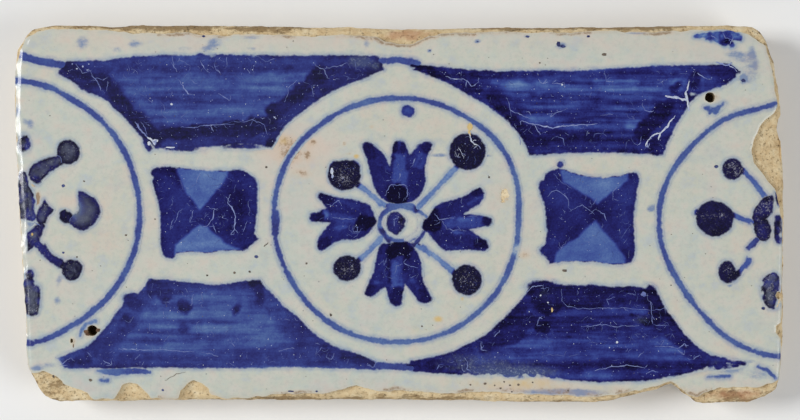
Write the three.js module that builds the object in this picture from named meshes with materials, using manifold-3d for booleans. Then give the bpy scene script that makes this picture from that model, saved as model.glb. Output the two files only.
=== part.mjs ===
// Border tile: a tin-glazed earthenware tile painted in cobalt blue.
// It lies on its back with the painted face up. X runs along its length and Y across it, and the
// origin is the middle of the back. Millimetres.
//
// The pieces are the fired layers: the clay slab, the skin of tin glaze on it, and each patch of
// cobalt pigment on the glaze. The darker second coat lies on top of the first wash.

import * as THREE from 'three';
import { mergeVertices } from 'three/addons/utils/BufferGeometryUtils.js';
import Module from 'manifold-3d';

const wasm = await Module();
wasm.setup();

// Tile
const TILE_LENGTH = 130.4;
const TILE_WIDTH = 63.9;
const CLAY_THICKNESS = 9.6;
const GLAZE_THICKNESS = 0.6;
const WASH_THICKNESS = 0.1;
const SHADE_THICKNESS = 0.1;

// Edges of the slab: cut with a knife held at a slant, so that the back is smaller than the face
const UNDERCUT = 0.9;
const LIP_HEIGHT = 1.5;
const FACE_ARRIS = 0.35;
const BACK_ARRIS = 0.5;
const LEFT_END_LEAN = 2.2;
const LOWER_LEFT_RISE = 0.3;
const END_BULGE = 0.2;
const SIDE_HOLLOW = 0.45;

// Glaze skin: it stops short of the arris and rolls down to the clay over a rounded shoulder
const GLAZE_FROM_ARRIS_SIDES = 0.45;
const GLAZE_FROM_ARRIS_ENDS = 0.05;
const GLAZE_WALL = 0.15;
const GLAZE_SHOULDER = 0.9;
const PAINT_MARGIN = 0.1;

// Holes left by the two nails of the wooden cutting template, between a half ring and a field
const NAIL_HOLE_RADIUS = 0.9;
const NAIL_HOLE_DEPTH = 2.6;
const UPPER_NAIL_FROM_RING = 4.5;
const UPPER_NAIL_ANGLE = 120.2;
const LOWER_NAIL_FROM_RING = 2;
const LOWER_NAIL_ANGLE = -54.3;

// Roundels: one in the middle, and one half at each end that the next tile in the row completes
const CENTRE_ROUNDEL = { x: -0.4, y: -1.0 };
const CENTRE_RING_RADIUS = 20.7;
const LEFT_ROUNDEL = { pastEnd: 0.8, y: 0 };
const LEFT_RING_RADIUS = 22.2;
const RIGHT_ROUNDEL = { pastEnd: 0.1, y: -2.2 };
const RIGHT_RING_RADIUS = 20.95;
const RING_LINE_WIDTH = 0.9;

// Squares: each sits between two rings and between two corner fields
const LEFT_SQUARE_FROM_RINGS = 2.5;
const LEFT_SQUARE_FROM_FIELDS = 3.55;
const LEFT_SQUARE_RAISE = 0.55;
const RIGHT_SQUARE_FROM_RINGS = 3.2;
const RIGHT_SQUARE_FROM_FIELDS = 3.3;
const RIGHT_SQUARE_RAISE = 0.2;

// Ties between the fields' tips, measured from the long sides
const TOP_TIE_FROM_SIDE = 6.05;
const TOP_TIE_WIDTH = 0.85;
const BOTTOM_TIE_FROM_SIDE = 6.4;
const BOTTOM_TIE_WIDTH = 1;
const END_TIE_FROM_SIDE = 6.5;
const END_TIE_WIDTH = 1.1;

// Clear white glaze kept between two neighbouring patches of pigment, and round a hole
const PATCH_CLEARANCE = 0.3;
const TIE_CLEARANCE = 0.4;

// The motif outlines below are drawn for rings and a square of these sizes, and are put in place
// at the scale of the real ones
const drawnFor = { centreRing: 20.7, leftRing: 22.2, rightRing: 20.95, squareWidth: 17, squareHeight: 16 };

// Facets
const MERGE_TOLERANCE = 1e-5;
const CORNER_STEPS = 6;
const SHOULDER_STEPS = 4;
const NAIL_HOLE_SIDES = 20;
const RING_STEPS = 72;
const FIELD_STEPS = 16;
const FIELD_ARC_STEPS = 96;
const MOTIF_STEPS = 2;
const HUB_SIDES = 28;
const BERRY_SIDES = 18;
const FLECK_SIDES = 12;

const HALF_LENGTH = TILE_LENGTH / 2;
const HALF_WIDTH = TILE_WIDTH / 2;
const GLAZE_TOP = CLAY_THICKNESS + GLAZE_THICKNESS;
const WASH_TOP = GLAZE_TOP + WASH_THICKNESS;
const GLAZE_INSET_ENDS = FACE_ARRIS + GLAZE_FROM_ARRIS_ENDS;
const GLAZE_INSET_SIDES = FACE_ARRIS + GLAZE_FROM_ARRIS_SIDES;
const CUT_OVERSHOOT = 3;

const roundels = {
  centre: {
    x: CENTRE_ROUNDEL.x,
    y: CENTRE_ROUNDEL.y,
    radius: CENTRE_RING_RADIUS,
    scale: CENTRE_RING_RADIUS / drawnFor.centreRing,
  },
  left: {
    x: -(HALF_LENGTH + LEFT_ROUNDEL.pastEnd),
    y: LEFT_ROUNDEL.y,
    radius: LEFT_RING_RADIUS,
    scale: LEFT_RING_RADIUS / drawnFor.leftRing,
  },
  right: {
    x: HALF_LENGTH + RIGHT_ROUNDEL.pastEnd,
    y: RIGHT_ROUNDEL.y,
    radius: RIGHT_RING_RADIUS,
    scale: RIGHT_RING_RADIUS / drawnFor.rightRing,
  },
};

const finishes = {
  clay: { color: 0xcdae7d, roughness: 0.9, metalness: 0 },
  glaze: { color: 0xcbc9bd, roughness: 0.22, metalness: 0 },
  wash: { color: 0x40559c, roughness: 0.25, metalness: 0 },
  line: { color: 0x4a62a6, roughness: 0.25, metalness: 0 },
  dark: { color: 0x1f1d4a, roughness: 0.25, metalness: 0 },
};

// Solids

function toSolid(geometry) {
  const plain = new THREE.BufferGeometry();
  plain.setAttribute('position', geometry.getAttribute('position'));
  if (geometry.index) plain.setIndex(geometry.index);
  const merged = mergeVertices(plain, MERGE_TOLERANCE);
  return new wasm.Manifold(new wasm.Mesh({
    numProp: 3,
    vertProperties: new Float32Array(merged.getAttribute('position').array),
    triVerts: new Uint32Array(merged.index.array),
  }));
}

function toGeometry(solid) {
  const mesh = solid.getMesh();
  const geometry = new THREE.BufferGeometry();
  geometry.setAttribute('position', new THREE.BufferAttribute(mesh.vertProperties, mesh.numProp));
  geometry.setIndex(new THREE.BufferAttribute(mesh.triVerts, 1));
  geometry.computeVertexNormals();
  return geometry;
}

function toVectors(outline) {
  return outline.map(([x, y]) => new THREE.Vector2(x, y));
}

// A prism over one outline, from z = base to z = base + height
function prism(outline, base, height, hole) {
  const shape = new THREE.Shape(toVectors(outline));
  if (hole) shape.holes.push(new THREE.Path(toVectors(hole)));
  const geometry = new THREE.ExtrudeGeometry(shape, { depth: height, bevelEnabled: false });
  geometry.translate(0, 0, base);
  return toSolid(geometry);
}

// A solid through a stack of outlines that all have the same number of points
function loft(levels) {
  const count = levels[0].outline.length;
  const positions = levels.flatMap(({ outline, z }) => outline.flatMap(([x, y]) => [x, y, z]));
  const indices = [];
  for (let level = 0; level + 1 < levels.length; level++) {
    for (let k = 0; k < count; k++) {
      const a = level * count + k;
      const b = level * count + (k + 1) % count;
      indices.push(a, b, b + count, a, b + count, a + count);
    }
  }
  const last = (levels.length - 1) * count;
  for (const [a, b, c] of THREE.ShapeUtils.triangulateShape(toVectors(levels[0].outline), [])) {
    indices.push(a, c, b);
    indices.push(last + a, last + b, last + c);
  }
  const geometry = new THREE.BufferGeometry();
  geometry.setAttribute('position', new THREE.Float32BufferAttribute(positions, 3));
  geometry.setIndex(indices);
  return toSolid(geometry);
}

// Outlines

function smoothLoop(points, stepsPerPoint = MOTIF_STEPS) {
  const curve = new THREE.CatmullRomCurve3(points.map(([x, y]) => new THREE.Vector3(x, y, 0)), true);
  return curve.getPoints(points.length * stepsPerPoint).slice(0, -1).map((p) => [p.x, p.y]);
}

// A brush stroke along a curve, with square ends and a width that may change from end to end
function stroke(points, startWidth, endWidth = startWidth, stepsPerSpan = 4) {
  const curve = new THREE.CatmullRomCurve3(points.map(([x, y]) => new THREE.Vector3(x, y, 0)));
  const steps = (points.length - 1) * stepsPerSpan;
  const right = [];
  const left = [];
  for (let k = 0; k <= steps; k++) {
    const t = k / steps;
    const p = curve.getPointAt(t);
    const direction = curve.getTangentAt(t);
    const half = (startWidth + (endWidth - startWidth) * t) / 2;
    right.push([p.x + direction.y * half, p.y - direction.x * half]);
    left.push([p.x - direction.y * half, p.y + direction.x * half]);
  }
  return [...right, ...left.reverse()];
}

function ellipse(x, y, radiusX, radiusY = radiusX, steps = 16) {
  return Array.from({ length: steps }, (_, k) => {
    const angle = (k / steps) * 2 * Math.PI;
    return [x + radiusX * Math.cos(angle), y + radiusY * Math.sin(angle)];
  });
}

// The same outline moved outwards by a distance
function grow(outline, distance) {
  const sign = Math.sign(THREE.ShapeUtils.area(toVectors(outline)));
  const count = outline.length;
  return outline.map(([x, y], k) => {
    const [px, py] = outline[(k + count - 1) % count];
    const [nx, ny] = outline[(k + 1) % count];
    const length = Math.hypot(nx - px, ny - py);
    return [x + sign * distance * (ny - py) / length, y - sign * distance * (nx - px) / length];
  });
}

// Reads a short list of deviations as a smooth function of t from 0 to 1
function smoothList(values) {
  const curve = new THREE.CatmullRomCurve3(values.map((v, k) => new THREE.Vector3(k, v, 0)));
  return (t) => curve.getPoint(t).y;
}

// A motif outline, drawn round its own centre, put in its place on the tile
function put(points, { x, y, scale, scaleY = scale }) {
  return points.map(([px, py]) => [x + px * scale, y + py * scaleY]);
}

// A point a given distance outside a roundel's ring
function aroundRing(roundel, fromRing, degrees) {
  const angle = THREE.MathUtils.degToRad(degrees);
  const r = roundel.radius + fromRing;
  return [roundel.x + r * Math.cos(angle), roundel.y + r * Math.sin(angle)];
}

// Face outline of the tile, moved in from the ends and from the long sides

function tileOutline(insetEnds, insetSides) {
  const corners = [
    { x: -HALF_LENGTH, y: HALF_WIDTH, alongEnd: 6.5, alongSide: 5 },
    {
      x: -HALF_LENGTH + LEFT_END_LEAN,
      y: -HALF_WIDTH + LOWER_LEFT_RISE,
      alongEnd: 6,
      alongSide: 5.5,
    },
    { x: HALF_LENGTH - END_BULGE, y: -HALF_WIDTH, alongEnd: 6.4, alongSide: 5 },
    { x: HALF_LENGTH - END_BULGE, y: HALF_WIDTH, alongEnd: 14, alongSide: 5.2 },
  ].map((corner) => ({
    ...corner,
    x: corner.x - Math.sign(corner.x) * insetEnds,
    y: corner.y - Math.sign(corner.y) * insetSides,
  }));
  const [topLeft, lowerLeft, lowerRight, topRight] = corners;
  const endPoint = ({ x, y, alongEnd }) => new THREE.Vector2(x, y - Math.sign(y) * alongEnd);
  const sidePoint = ({ x, y, alongSide }) => new THREE.Vector2(x - Math.sign(x) * alongSide, y);
  const between = (a, b, bowX, bowY) => a.clone().add(b).divideScalar(2).add(new THREE.Vector2(bowX, bowY));
  const curves = [];
  const bend = (from, control, to) => curves.push(new THREE.QuadraticBezierCurve(from, control, to));
  const roundCorner = (from, corner, to) => bend(from, new THREE.Vector2(corner.x, corner.y), to);

  const ends = corners.map(endPoint);
  const sides = corners.map(sidePoint);
  const endBow = 2 * END_BULGE;
  const sideBow = 2 * SIDE_HOLLOW;
  bend(ends[0], between(ends[0], ends[1], -endBow, 0), ends[1]);
  roundCorner(ends[1], lowerLeft, sides[1]);
  bend(sides[1], between(sides[1], sides[2], 0, sideBow), sides[2]);
  roundCorner(sides[2], lowerRight, ends[2]);
  bend(ends[2], between(ends[2], ends[3], endBow, 0), ends[3]);
  roundCorner(ends[3], topRight, sides[3]);
  bend(sides[3], between(sides[3], sides[0], 0, -sideBow), sides[0]);
  roundCorner(sides[0], topLeft, ends[0]);
  return curves.flatMap((curve) => curve.getPoints(CORNER_STEPS).slice(0, -1).map((p) => [p.x, p.y]));
}

// Flakes: places on the edge where the glaze has broken away with a scale of clay.
// A point is [distance along the edge from its middle, distance in from the edge], and for a
// corner flake [in from the end, in from the long side]. The floor slopes down to the edge, from
// a small share of the depth at the flake's inner rim.

const FLAKE_RIM_SHARE = 0.1;

const edgeMaps = {
  top: ([along, inward]) => [along, HALF_WIDTH - inward],
  bottom: ([along, inward]) => [along, -HALF_WIDTH + inward],
  right: ([along, inward]) => [HALF_LENGTH - inward, along],
  topLeft: ([fromEnd, fromSide]) => [-HALF_LENGTH + fromEnd, HALF_WIDTH - fromSide],
  topRight: ([fromEnd, fromSide]) => [HALF_LENGTH - fromEnd, HALF_WIDTH - fromSide],
  bottomLeft: ([fromEnd, fromSide]) => [-HALF_LENGTH + fromEnd, -HALF_WIDTH + fromSide],
  bottomRight: ([fromEnd, fromSide]) => [HALF_LENGTH - fromEnd, -HALF_WIDTH + fromSide],
};

const flakes = [
  {
    edge: 'top',
    depth: 0.9,
    points: [[-5.5, 1.3], [-3.5, 1.9], [-2.3, 2.8], [0, 3.1], [2.3, 3.1], [3.7, 2.5], [5.2, 1.6], [7, 1]],
  },
  {
    edge: 'right',
    depth: 2.2,
    points: [
      [16.9, 1.6], [15.6, 3.5], [13.9, 4.7], [10.3, 5.5], [8.3, 5], [6.4, 3.4], [4.4, 1.6], [2.5, 1.2],
      [1, 0.7],
    ],
  },
  { edge: 'right', depth: 0.7, points: [[-18.1, 0.5], [-18.8, 1.3], [-20.2, 1.2], [-21, 0.5]] },
  {
    edge: 'bottom',
    depth: 1.2,
    points: [[-48.8, 0.4], [-47.6, 2.4], [-46.4, 3.5], [-44.3, 3.4], [-42.9, 1.9], [-41.2, 0.8]],
  },
  {
    edge: 'bottom',
    depth: 1.3,
    points: [[-37.2, 0.6], [-36.8, 2.2], [-35.7, 3.5], [-34.4, 3.8], [-32.7, 3], [-32, 1.7], [-32.5, 0.6]],
  },
  { edge: 'bottom', depth: 0.8, points: [[-10, 0.8], [-8, 2.1], [-6.4, 2.6], [-5, 1.9], [-3.6, 0.8]] },
  {
    edge: 'bottom',
    depth: 0.8,
    points: [
      [34, 0.8], [37.5, 1.8], [41, 2.6], [44, 3.2], [46.2, 4.3], [47.8, 3.2], [49.5, 1.9], [50.8, 0.8],
    ],
  },
  { edge: 'topLeft', depth: 0.9, points: [[0.3, 6.4], [0.9, 4.2], [2, 2.3], [4.2, 1.2], [7.4, 0.6]] },
  { edge: 'topRight', depth: 0.8, points: [[1.2, 7.4], [2.2, 5], [3.8, 2.7], [5.6, 1.4], [8.4, 0.6]] },
  {
    edge: 'bottomLeft',
    depth: 1.6,
    points: [[2, 6], [4.4, 5.3], [6.6, 4.5], [8.4, 3.1], [9.2, 2.2], [11.2, 1.7], [13.2, 0.4]],
  },
  {
    edge: 'bottomRight',
    depth: 1.1,
    points: [[0.3, 4.8], [2.7, 3.2], [5.2, 2.8], [8.4, 2.8], [11.7, 2.4], [13.7, 1.8], [15.2, 0.7]],
  },
];

function flakeTool({ edge, depth, points }) {
  const map = edgeMaps[edge];
  const first = points[0];
  const last = points[points.length - 1];
  const isCorner = !(edge === 'top' || edge === 'bottom' || edge === 'right');
  const outside = isCorner
    ? [[last[0], -CUT_OVERSHOOT], [-CUT_OVERSHOOT, -CUT_OVERSHOOT], [-CUT_OVERSHOOT, first[1]]]
    : [[last[0], -CUT_OVERSHOOT], [first[0], -CUT_OVERSHOOT]];
  const curve = new THREE.CatmullRomCurve3(points.map(([x, y]) => new THREE.Vector3(x, y, 0)));
  const inner = curve.getPoints((points.length - 1) * 2).map((p) => [p.x, p.y]);
  const reach = Math.max(...points.map(([, inward]) => inward));
  const floorAt = ([, inward]) => {
    const broken = 1 - Math.max(inward, 0) / reach;
    return CLAY_THICKNESS - depth * THREE.MathUtils.lerp(FLAKE_RIM_SHARE, 1, broken);
  };
  const outline = [...inner, ...outside];
  const xy = outline.map(map);
  const isClockwise = THREE.ShapeUtils.area(toVectors(xy)) < 0;
  if (isClockwise) {
    xy.reverse();
    outline.reverse();
  }
  const count = xy.length;
  const positions = [
    ...xy.flatMap(([x, y], k) => [x, y, floorAt(outline[k])]),
    ...xy.flatMap(([x, y]) => [x, y, WASH_TOP + SHADE_THICKNESS + CUT_OVERSHOOT]),
  ];
  const indices = [];
  for (const [a, b, c] of THREE.ShapeUtils.triangulateShape(toVectors(xy), [])) {
    indices.push(a, c, b, count + a, count + b, count + c);
  }
  for (let k = 0; k < count; k++) {
    const next = (k + 1) % count;
    indices.push(k, next, count + next, k, count + next, count + k);
  }
  const geometry = new THREE.BufferGeometry();
  geometry.setAttribute('position', new THREE.Float32BufferAttribute(positions, 3));
  geometry.setIndex(indices);
  return toSolid(geometry);
}

// A nick broken right through the long lower side
const nick = [
  [35.3, 0.3], [40.7, 1.6], [43.8, 2.2], [45.2, 2.9], [46.2, 3.3], [47.1, 2.6], [48.2, 1.5], [50.3, 0.2],
];

function nickTool() {
  const [start] = nick[0];
  const [end] = nick[nick.length - 1];
  const outline = [...nick, [end, -CUT_OVERSHOOT], [start, -CUT_OVERSHOOT]].map(edgeMaps.bottom);
  return prism(outline, -CUT_OVERSHOOT, GLAZE_TOP + 2 * CUT_OVERSHOOT);
}

const nailHoles = [
  { roundel: roundels.right, fromRing: UPPER_NAIL_FROM_RING, angle: UPPER_NAIL_ANGLE },
  { roundel: roundels.left, fromRing: LOWER_NAIL_FROM_RING, angle: LOWER_NAIL_ANGLE },
];

function nailTool({ roundel, fromRing, angle }, radius) {
  const floor = CLAY_THICKNESS - NAIL_HOLE_DEPTH;
  const height = NAIL_HOLE_DEPTH + GLAZE_THICKNESS + CUT_OVERSHOOT;
  const [x, y] = aroundRing(roundel, fromRing, angle);
  return prism(ellipse(x, y, radius, radius, NAIL_HOLE_SIDES), floor, height);
}

const nailTools = (radius) => nailHoles.map((hole) => nailTool(hole, radius));
const edgeCuts = [...flakes.map(flakeTool), nickTool()];
const slabCuts = [...edgeCuts, ...nailTools(NAIL_HOLE_RADIUS)];
const paintCuts = [...edgeCuts, ...nailTools(NAIL_HOLE_RADIUS + PATCH_CLEARANCE)];

function clayBody() {
  const levels = [
    { inset: UNDERCUT + BACK_ARRIS, z: 0 },
    { inset: UNDERCUT, z: BACK_ARRIS },
    { inset: 0, z: CLAY_THICKNESS - LIP_HEIGHT },
    { inset: 0, z: CLAY_THICKNESS - FACE_ARRIS },
    { inset: FACE_ARRIS, z: CLAY_THICKNESS },
  ].map(({ inset, z }) => ({ outline: tileOutline(inset, inset), z }));
  return slabCuts.reduce((solid, cut) => solid.subtract(cut), loft(levels));
}

function tinGlaze() {
  const levels = [{ outline: tileOutline(GLAZE_INSET_ENDS, GLAZE_INSET_SIDES), z: CLAY_THICKNESS }];
  for (let k = 0; k <= SHOULDER_STEPS; k++) {
    const angle = (k / SHOULDER_STEPS) * Math.PI / 2;
    const inset = GLAZE_SHOULDER * (1 - Math.cos(angle));
    levels.push({
      outline: tileOutline(GLAZE_INSET_ENDS + inset, GLAZE_INSET_SIDES + inset),
      z: CLAY_THICKNESS + GLAZE_WALL + (GLAZE_THICKNESS - GLAZE_WALL) * Math.sin(angle),
    });
  }
  return slabCuts.reduce((solid, cut) => solid.subtract(cut), loft(levels));
}

// Paint

const object = new THREE.Group();

function addPart(name, solid, finish) {
  const mesh = new THREE.Mesh(toGeometry(solid), new THREE.MeshStandardMaterial(finishes[finish]));
  mesh.name = name;
  object.add(mesh);
}

const flatInset = GLAZE_SHOULDER + PAINT_MARGIN;
const flatGlaze = prism(
  tileOutline(GLAZE_INSET_ENDS + flatInset, GLAZE_INSET_SIDES + flatInset),
  CLAY_THICKNESS,
  GLAZE_THICKNESS + WASH_THICKNESS + SHADE_THICKNESS + CUT_OVERSHOOT,
);

function onFlatGlaze(solid) {
  return paintCuts.reduce((rest, cut) => rest.subtract(cut), solid.intersect(flatGlaze));
}

// A prism that cuts right through the paint
function paintTool(outline) {
  return prism(outline, CLAY_THICKNESS, GLAZE_THICKNESS + CUT_OVERSHOOT);
}

// A coat in one outline or several joined, with its reach, which is what neighbours keep clear of
function coat(...outlines) {
  const join = (solids) => solids.reduce((joined, solid) => joined.add(solid));
  return {
    paint: join(outlines.map((outline) => prism(outline, GLAZE_TOP, WASH_THICKNESS))),
    reach: join(outlines.map((outline) => paintTool(grow(outline, PATCH_CLEARANCE)))),
  };
}

const reaches = {};

// A patch of the first coat. It keeps clear of its named neighbours, and a motif of a roundel keeps
// to the room inside its ring.
function patch(name, { paint, reach }, finish, { clearOf = [], room } = {}) {
  let solid = clearOf.reduce((rest, neighbour) => rest.subtract(reaches[neighbour]), paint);
  if (room) solid = solid.intersect(room);
  reaches[name] = reach;
  addPart(name, onFlatGlaze(solid), finish);
}

// The second coat on a patch: the patch's own outline less the places that stay light
function shade(name, solid, lightPlaces) {
  const dark = lightPlaces.reduce((rest, light) => rest.subtract(light), solid);
  addPart(name, onFlatGlaze(dark), 'dark');
}

// Rings: a round line whose radius strays by the small amounts listed at even angles

const rings = {
  centre: {
    roundel: roundels.centre,
    from: 0,
    to: 360,
    strays: [-0.1, 0.9, 0.3, 0, -0.1, 0.3, 0, -0.2, 0, -0.1, 0.1, 0.1, -0.1],
  },
  left: {
    roundel: roundels.left,
    from: 90,
    to: -90,
    strays: [0.5, 0.4, 0, 0.1, 0.1, 0, 0, 0, -0.2, -0.4, -0.5, -0.1, -0.5],
  },
  right: {
    roundel: roundels.right,
    from: 90,
    to: 270,
    strays: [0, -0.4, 0, -0.1, 0.3, 0.6, 0.35, -0.2, -0.8, -0.7, 0, 0.6, 1],
  },
};

// The ring's line moved outwards by an offset, as a list of points
function ringLine({ roundel, from, to, strays }, offset) {
  const stray = smoothList(strays);
  const steps = Math.round(RING_STEPS * Math.abs(to - from) / 360);
  return Array.from({ length: steps + 1 }, (_, k) => {
    return aroundRing(roundel, stray(k / steps) + offset, THREE.MathUtils.lerp(from, to, k / steps));
  });
}

// A closed line of paint between two outlines
function closedLine(name, outside, inside) {
  const paint = prism(outside, GLAZE_TOP, WASH_THICKNESS, inside);
  patch(name, { paint, reach: paintTool(grow(outside, PATCH_CLEARANCE)) }, 'line');
}

function addRings() {
  const half = RING_LINE_WIDTH / 2;
  const outside = ringLine(rings.centre, half).slice(0, -1);
  const inside = ringLine(rings.centre, -half).slice(0, -1);
  closedLine('ring_centre', outside, inside);
  for (const end of ['left', 'right']) {
    const band = [...ringLine(rings[end], half), ...ringLine(rings[end], -half).reverse()];
    patch(`ring_${end}`, coat(band), 'line');
  }
}

function roomInside(ring) {
  return paintTool(ringLine(ring, -RING_LINE_WIDTH / 2 - PATCH_CLEARANCE));
}

// Corner fields: each fills the corner between a half roundel, the middle roundel and two straight
// lines. The four sides are arcs round the roundels and lines along the tile, and each strays by
// the small amounts listed at even steps, from the middle of the tile or from the tips inwards.

const fields = [
  {
    name: 'field_top_left',
    end: 'left',
    row: 1,
    ringGapCentre: 3.7,
    ringGapEnd: 3.2,
    margin: 5.15,
    innerLine: 11.5,
    tipAtCentre: 2,
    bluntAtCentre: 1.3,
    tipFromEndAxis: 8.4,
    bluntAtEnd: 1.5,
    light: { inner: 3.6, outer: 2.8, sides: 3.4 },
    strays: {
      centreArc: [1.25, 0.2, 0, -0.1, 0, 0.3, 0],
      endArc: [-0.1, -0.5, -0.8, 0, 0, 0.2, 0.5, 0.8],
      outer: [-0.2, 0, 0, -0.1, 0.1, 0.1, 0.1, 0.1, -0.3, -0.9, -0.9],
      inner: [-0.25, 0.35, 0.2, 0, -0.35, -0.2, -0.5],
    },
  },
  {
    name: 'field_top_right',
    end: 'right',
    row: 1,
    ringGapCentre: 4.2,
    ringGapEnd: 4.45,
    margin: 7.35,
    innerLine: 10.4,
    tipAtCentre: 2,
    bluntAtCentre: 1.3,
    tipFromEndAxis: 7.6,
    bluntAtEnd: 1.8,
    light: { inner: 4.4, outer: 2.2, sides: 3.6 },
    strays: {
      centreArc: [0.9, 0.1, -0.1, -0.5, -0.1, 0.3, 0.5, 0.2],
      endArc: [1.5, 0.7, 1.2, 1.4, 0.4, -0.2, -0.8, -1.5],
      outer: [0.7, 0, -0.4, -0.4, -0.4, -0.2, 0.1, 0.5, 0.6, 0.7],
      inner: [-0.2, -0.2, 0.1, 0.05, 0.15, -0.1, -0.3],
    },
  },
  {
    name: 'field_bottom_left',
    end: 'left',
    row: -1,
    ringGapCentre: 3.1,
    ringGapEnd: 3.3,
    margin: 6.05,
    innerLine: 11.4,
    tipAtCentre: 3.5,
    bluntAtCentre: 0.4,
    tipFromEndAxis: 8.4,
    bluntAtEnd: 1.2,
    light: { inner: 1.8, outer: 2.4, sides: 3.2 },
    strays: {
      centreArc: [0.6, -0.3, 0, 0, -0.3, -0.2, 0.4, 1.3],
      endArc: [0.3, 0.2, 0.5, -0.1, -0.4, -0.9, 0.1, 0.7],
      outer: [0.4, 0.1, -0.1, -0.1, 0, 0, 0, -0.1, 0, 0.1, 0],
      inner: [-0.5, -0.2, 0.35, 0.5, 0.1, -0.3, -0.5],
    },
  },
  {
    name: 'field_bottom_right',
    end: 'right',
    row: -1,
    ringGapCentre: 3.6,
    ringGapEnd: 3.65,
    margin: 4.55,
    innerLine: 12,
    tipAtCentre: 2,
    bluntAtCentre: 0.3,
    tipFromEndAxis: 7.3,
    bluntAtEnd: 0.6,
    light: { inner: 4, outer: 2.6, sides: 2.8 },
    strays: {
      centreArc: [-0.3, -0.4, -0.2, -0.1, 0.35, 0.2, 0.6, 1],
      endArc: [-0.4, 0.3, 0.5, 0.3, 0, -0.2, -0.5],
      outer: [-0.9, -0.45, -0.35, -0.15, 0.1, 0.65, 0.75, 0.7, -0.1, -1.2, -1.5],
      inner: [-0.4, -0.6, 0, 0, 0.3, 0.2, 0.8],
    },
  },
];

// In a field's own directions u runs from the middle of the tile to its end, v to its long side.
// The field is a strip along the tile, cut away round the middle roundel and round the end's.
function fieldSolid(field, inset, base, height) {
  const side = field.end === 'left' ? -1 : 1;
  const lengthwise = (points) => points.map(([u, v]) => [side * u, field.row * v]);
  const isLight = inset.sides > 0;
  const stray = (key) => smoothList(isLight ? [0, 0] : field.strays[key]);
  const about = (roundel, gap, toward) => ({
    u: side * roundel.x,
    v: field.row * roundel.y,
    radius: roundel.radius + gap + inset.sides,
    toward,
  });
  const centre = about(roundels.centre, field.ringGapCentre, 1);
  const end = about(roundels[field.end], field.ringGapEnd, -1);
  const outer = HALF_WIDTH - field.margin - inset.outer;
  const inner = field.innerLine + inset.inner;

  // How far an arc stands from its roundel's centre across a given distance the other way
  const leg = ({ radius }, across) => Math.sqrt(Math.max(radius ** 2 - across ** 2, 0));
  const innerFrom = centre.u + leg(centre, inner - centre.v);
  const innerTo = end.u - leg(end, inner - end.v);
  const centreTip = field.tipAtCentre + inset.sides;
  const endTip = end.u - field.tipFromEndAxis - inset.sides;
  const outerFrom = centreTip + field.bluntAtCentre;
  const outerTo = endTip - field.bluntAtEnd;

  const walk = (from, to, line, deviation) => Array.from({ length: FIELD_STEPS + 1 }, (_, k) => {
    const t = k / FIELD_STEPS;
    return [THREE.MathUtils.lerp(from, to, t), line + deviation(t)];
  });
  const strip = [
    [centreTip, inner],
    ...walk(Math.max(innerFrom, centreTip), Math.min(innerTo, endTip), inner, stray('inner')),
    [endTip, inner],
    [endTip, Math.min(end.v + leg(end, endTip - end.u), outer - field.bluntAtEnd / 2)],
    ...walk(outerFrom, outerTo, outer, stray('outer')).reverse(),
    [centreTip, Math.min(centre.v + leg(centre, centreTip - centre.u), outer - field.bluntAtCentre / 2)],
  ];

  const disc = (roundel, tip, deviation) => {
    const share = (distance) => THREE.MathUtils.clamp(distance / roundel.radius, 0, 1);
    const from = Math.acos(share(roundel.toward * (tip - roundel.u)));
    const to = Math.asin(share(inner - roundel.v));
    return Array.from({ length: FIELD_ARC_STEPS }, (_, k) => {
      const angle = Math.PI * (2 * k / FIELD_ARC_STEPS - 1);
      const r = roundel.radius + deviation(THREE.MathUtils.clamp((angle - from) / (to - from), 0, 1));
      return [roundel.u + roundel.toward * r * Math.cos(angle), roundel.v + r * Math.sin(angle)];
    });
  };
  return prism(lengthwise(strip), base, height)
    .subtract(paintTool(lengthwise(disc(centre, centreTip, stray('centreArc')))))
    .subtract(paintTool(lengthwise(disc(end, endTip, stray('endArc')))));
}

const fieldPaint = {};

function addFields() {
  const evenInset = (inset) => ({ inner: inset, outer: inset, sides: inset });
  for (const field of fields) {
    const paint = fieldSolid(field, evenInset(0), GLAZE_TOP, WASH_THICKNESS);
    const reach = fieldSolid(field, evenInset(-PATCH_CLEARANCE), CLAY_THICKNESS, CUT_OVERSHOOT);
    patch(field.name, { paint, reach }, 'wash');
    const light = fieldSolid(field, field.light, GLAZE_TOP, CUT_OVERSHOOT);
    shade(`${field.name}_shade`, paint.translate([0, 0, WASH_THICKNESS]), [light]);
    fieldPaint[field.name] = paint.boundingBox();
  }
}

// Ties: short lines that join the fields' tips along the long sides, and one to the upper left end

const topTieStrays = [0, 0.2, -0.3];
const bottomTieStrays = [0, -0.3];
const endTieSteps = [[0, 0], [-2.2, 0.3], [-5, 1.1], [-8, 1.8]];

function addTies() {
  const tie = (row, y, strays, width) => {
    const from = fieldPaint[`field_${row}_left`].max[0] + TIE_CLEARANCE;
    const to = fieldPaint[`field_${row}_right`].min[0] - TIE_CLEARANCE;
    const line = strays.map((stray, k) => {
      return [THREE.MathUtils.lerp(from, to, k / (strays.length - 1)), y + stray];
    });
    patch(`tie_${row}`, coat(stroke(line, width)), 'line', { clearOf: ['ring_centre'] });
  };
  tie('top', HALF_WIDTH - TOP_TIE_FROM_SIDE, topTieStrays, TOP_TIE_WIDTH);
  tie('bottom', -HALF_WIDTH + BOTTOM_TIE_FROM_SIDE, bottomTieStrays, BOTTOM_TIE_WIDTH);

  const start = fieldPaint.field_top_left.min[0] - TIE_CLEARANCE;
  const endTie = endTieSteps.map(([dx, dy]) => [start + dx, HALF_WIDTH - END_TIE_FROM_SIDE + dy]);
  patch('tie_top_left', coat(stroke(endTie, END_TIE_WIDTH)), 'line', { clearOf: ['ring_left'] });
}

// Squares: an hourglass of the second coat leaves a light triangle above and below

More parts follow.
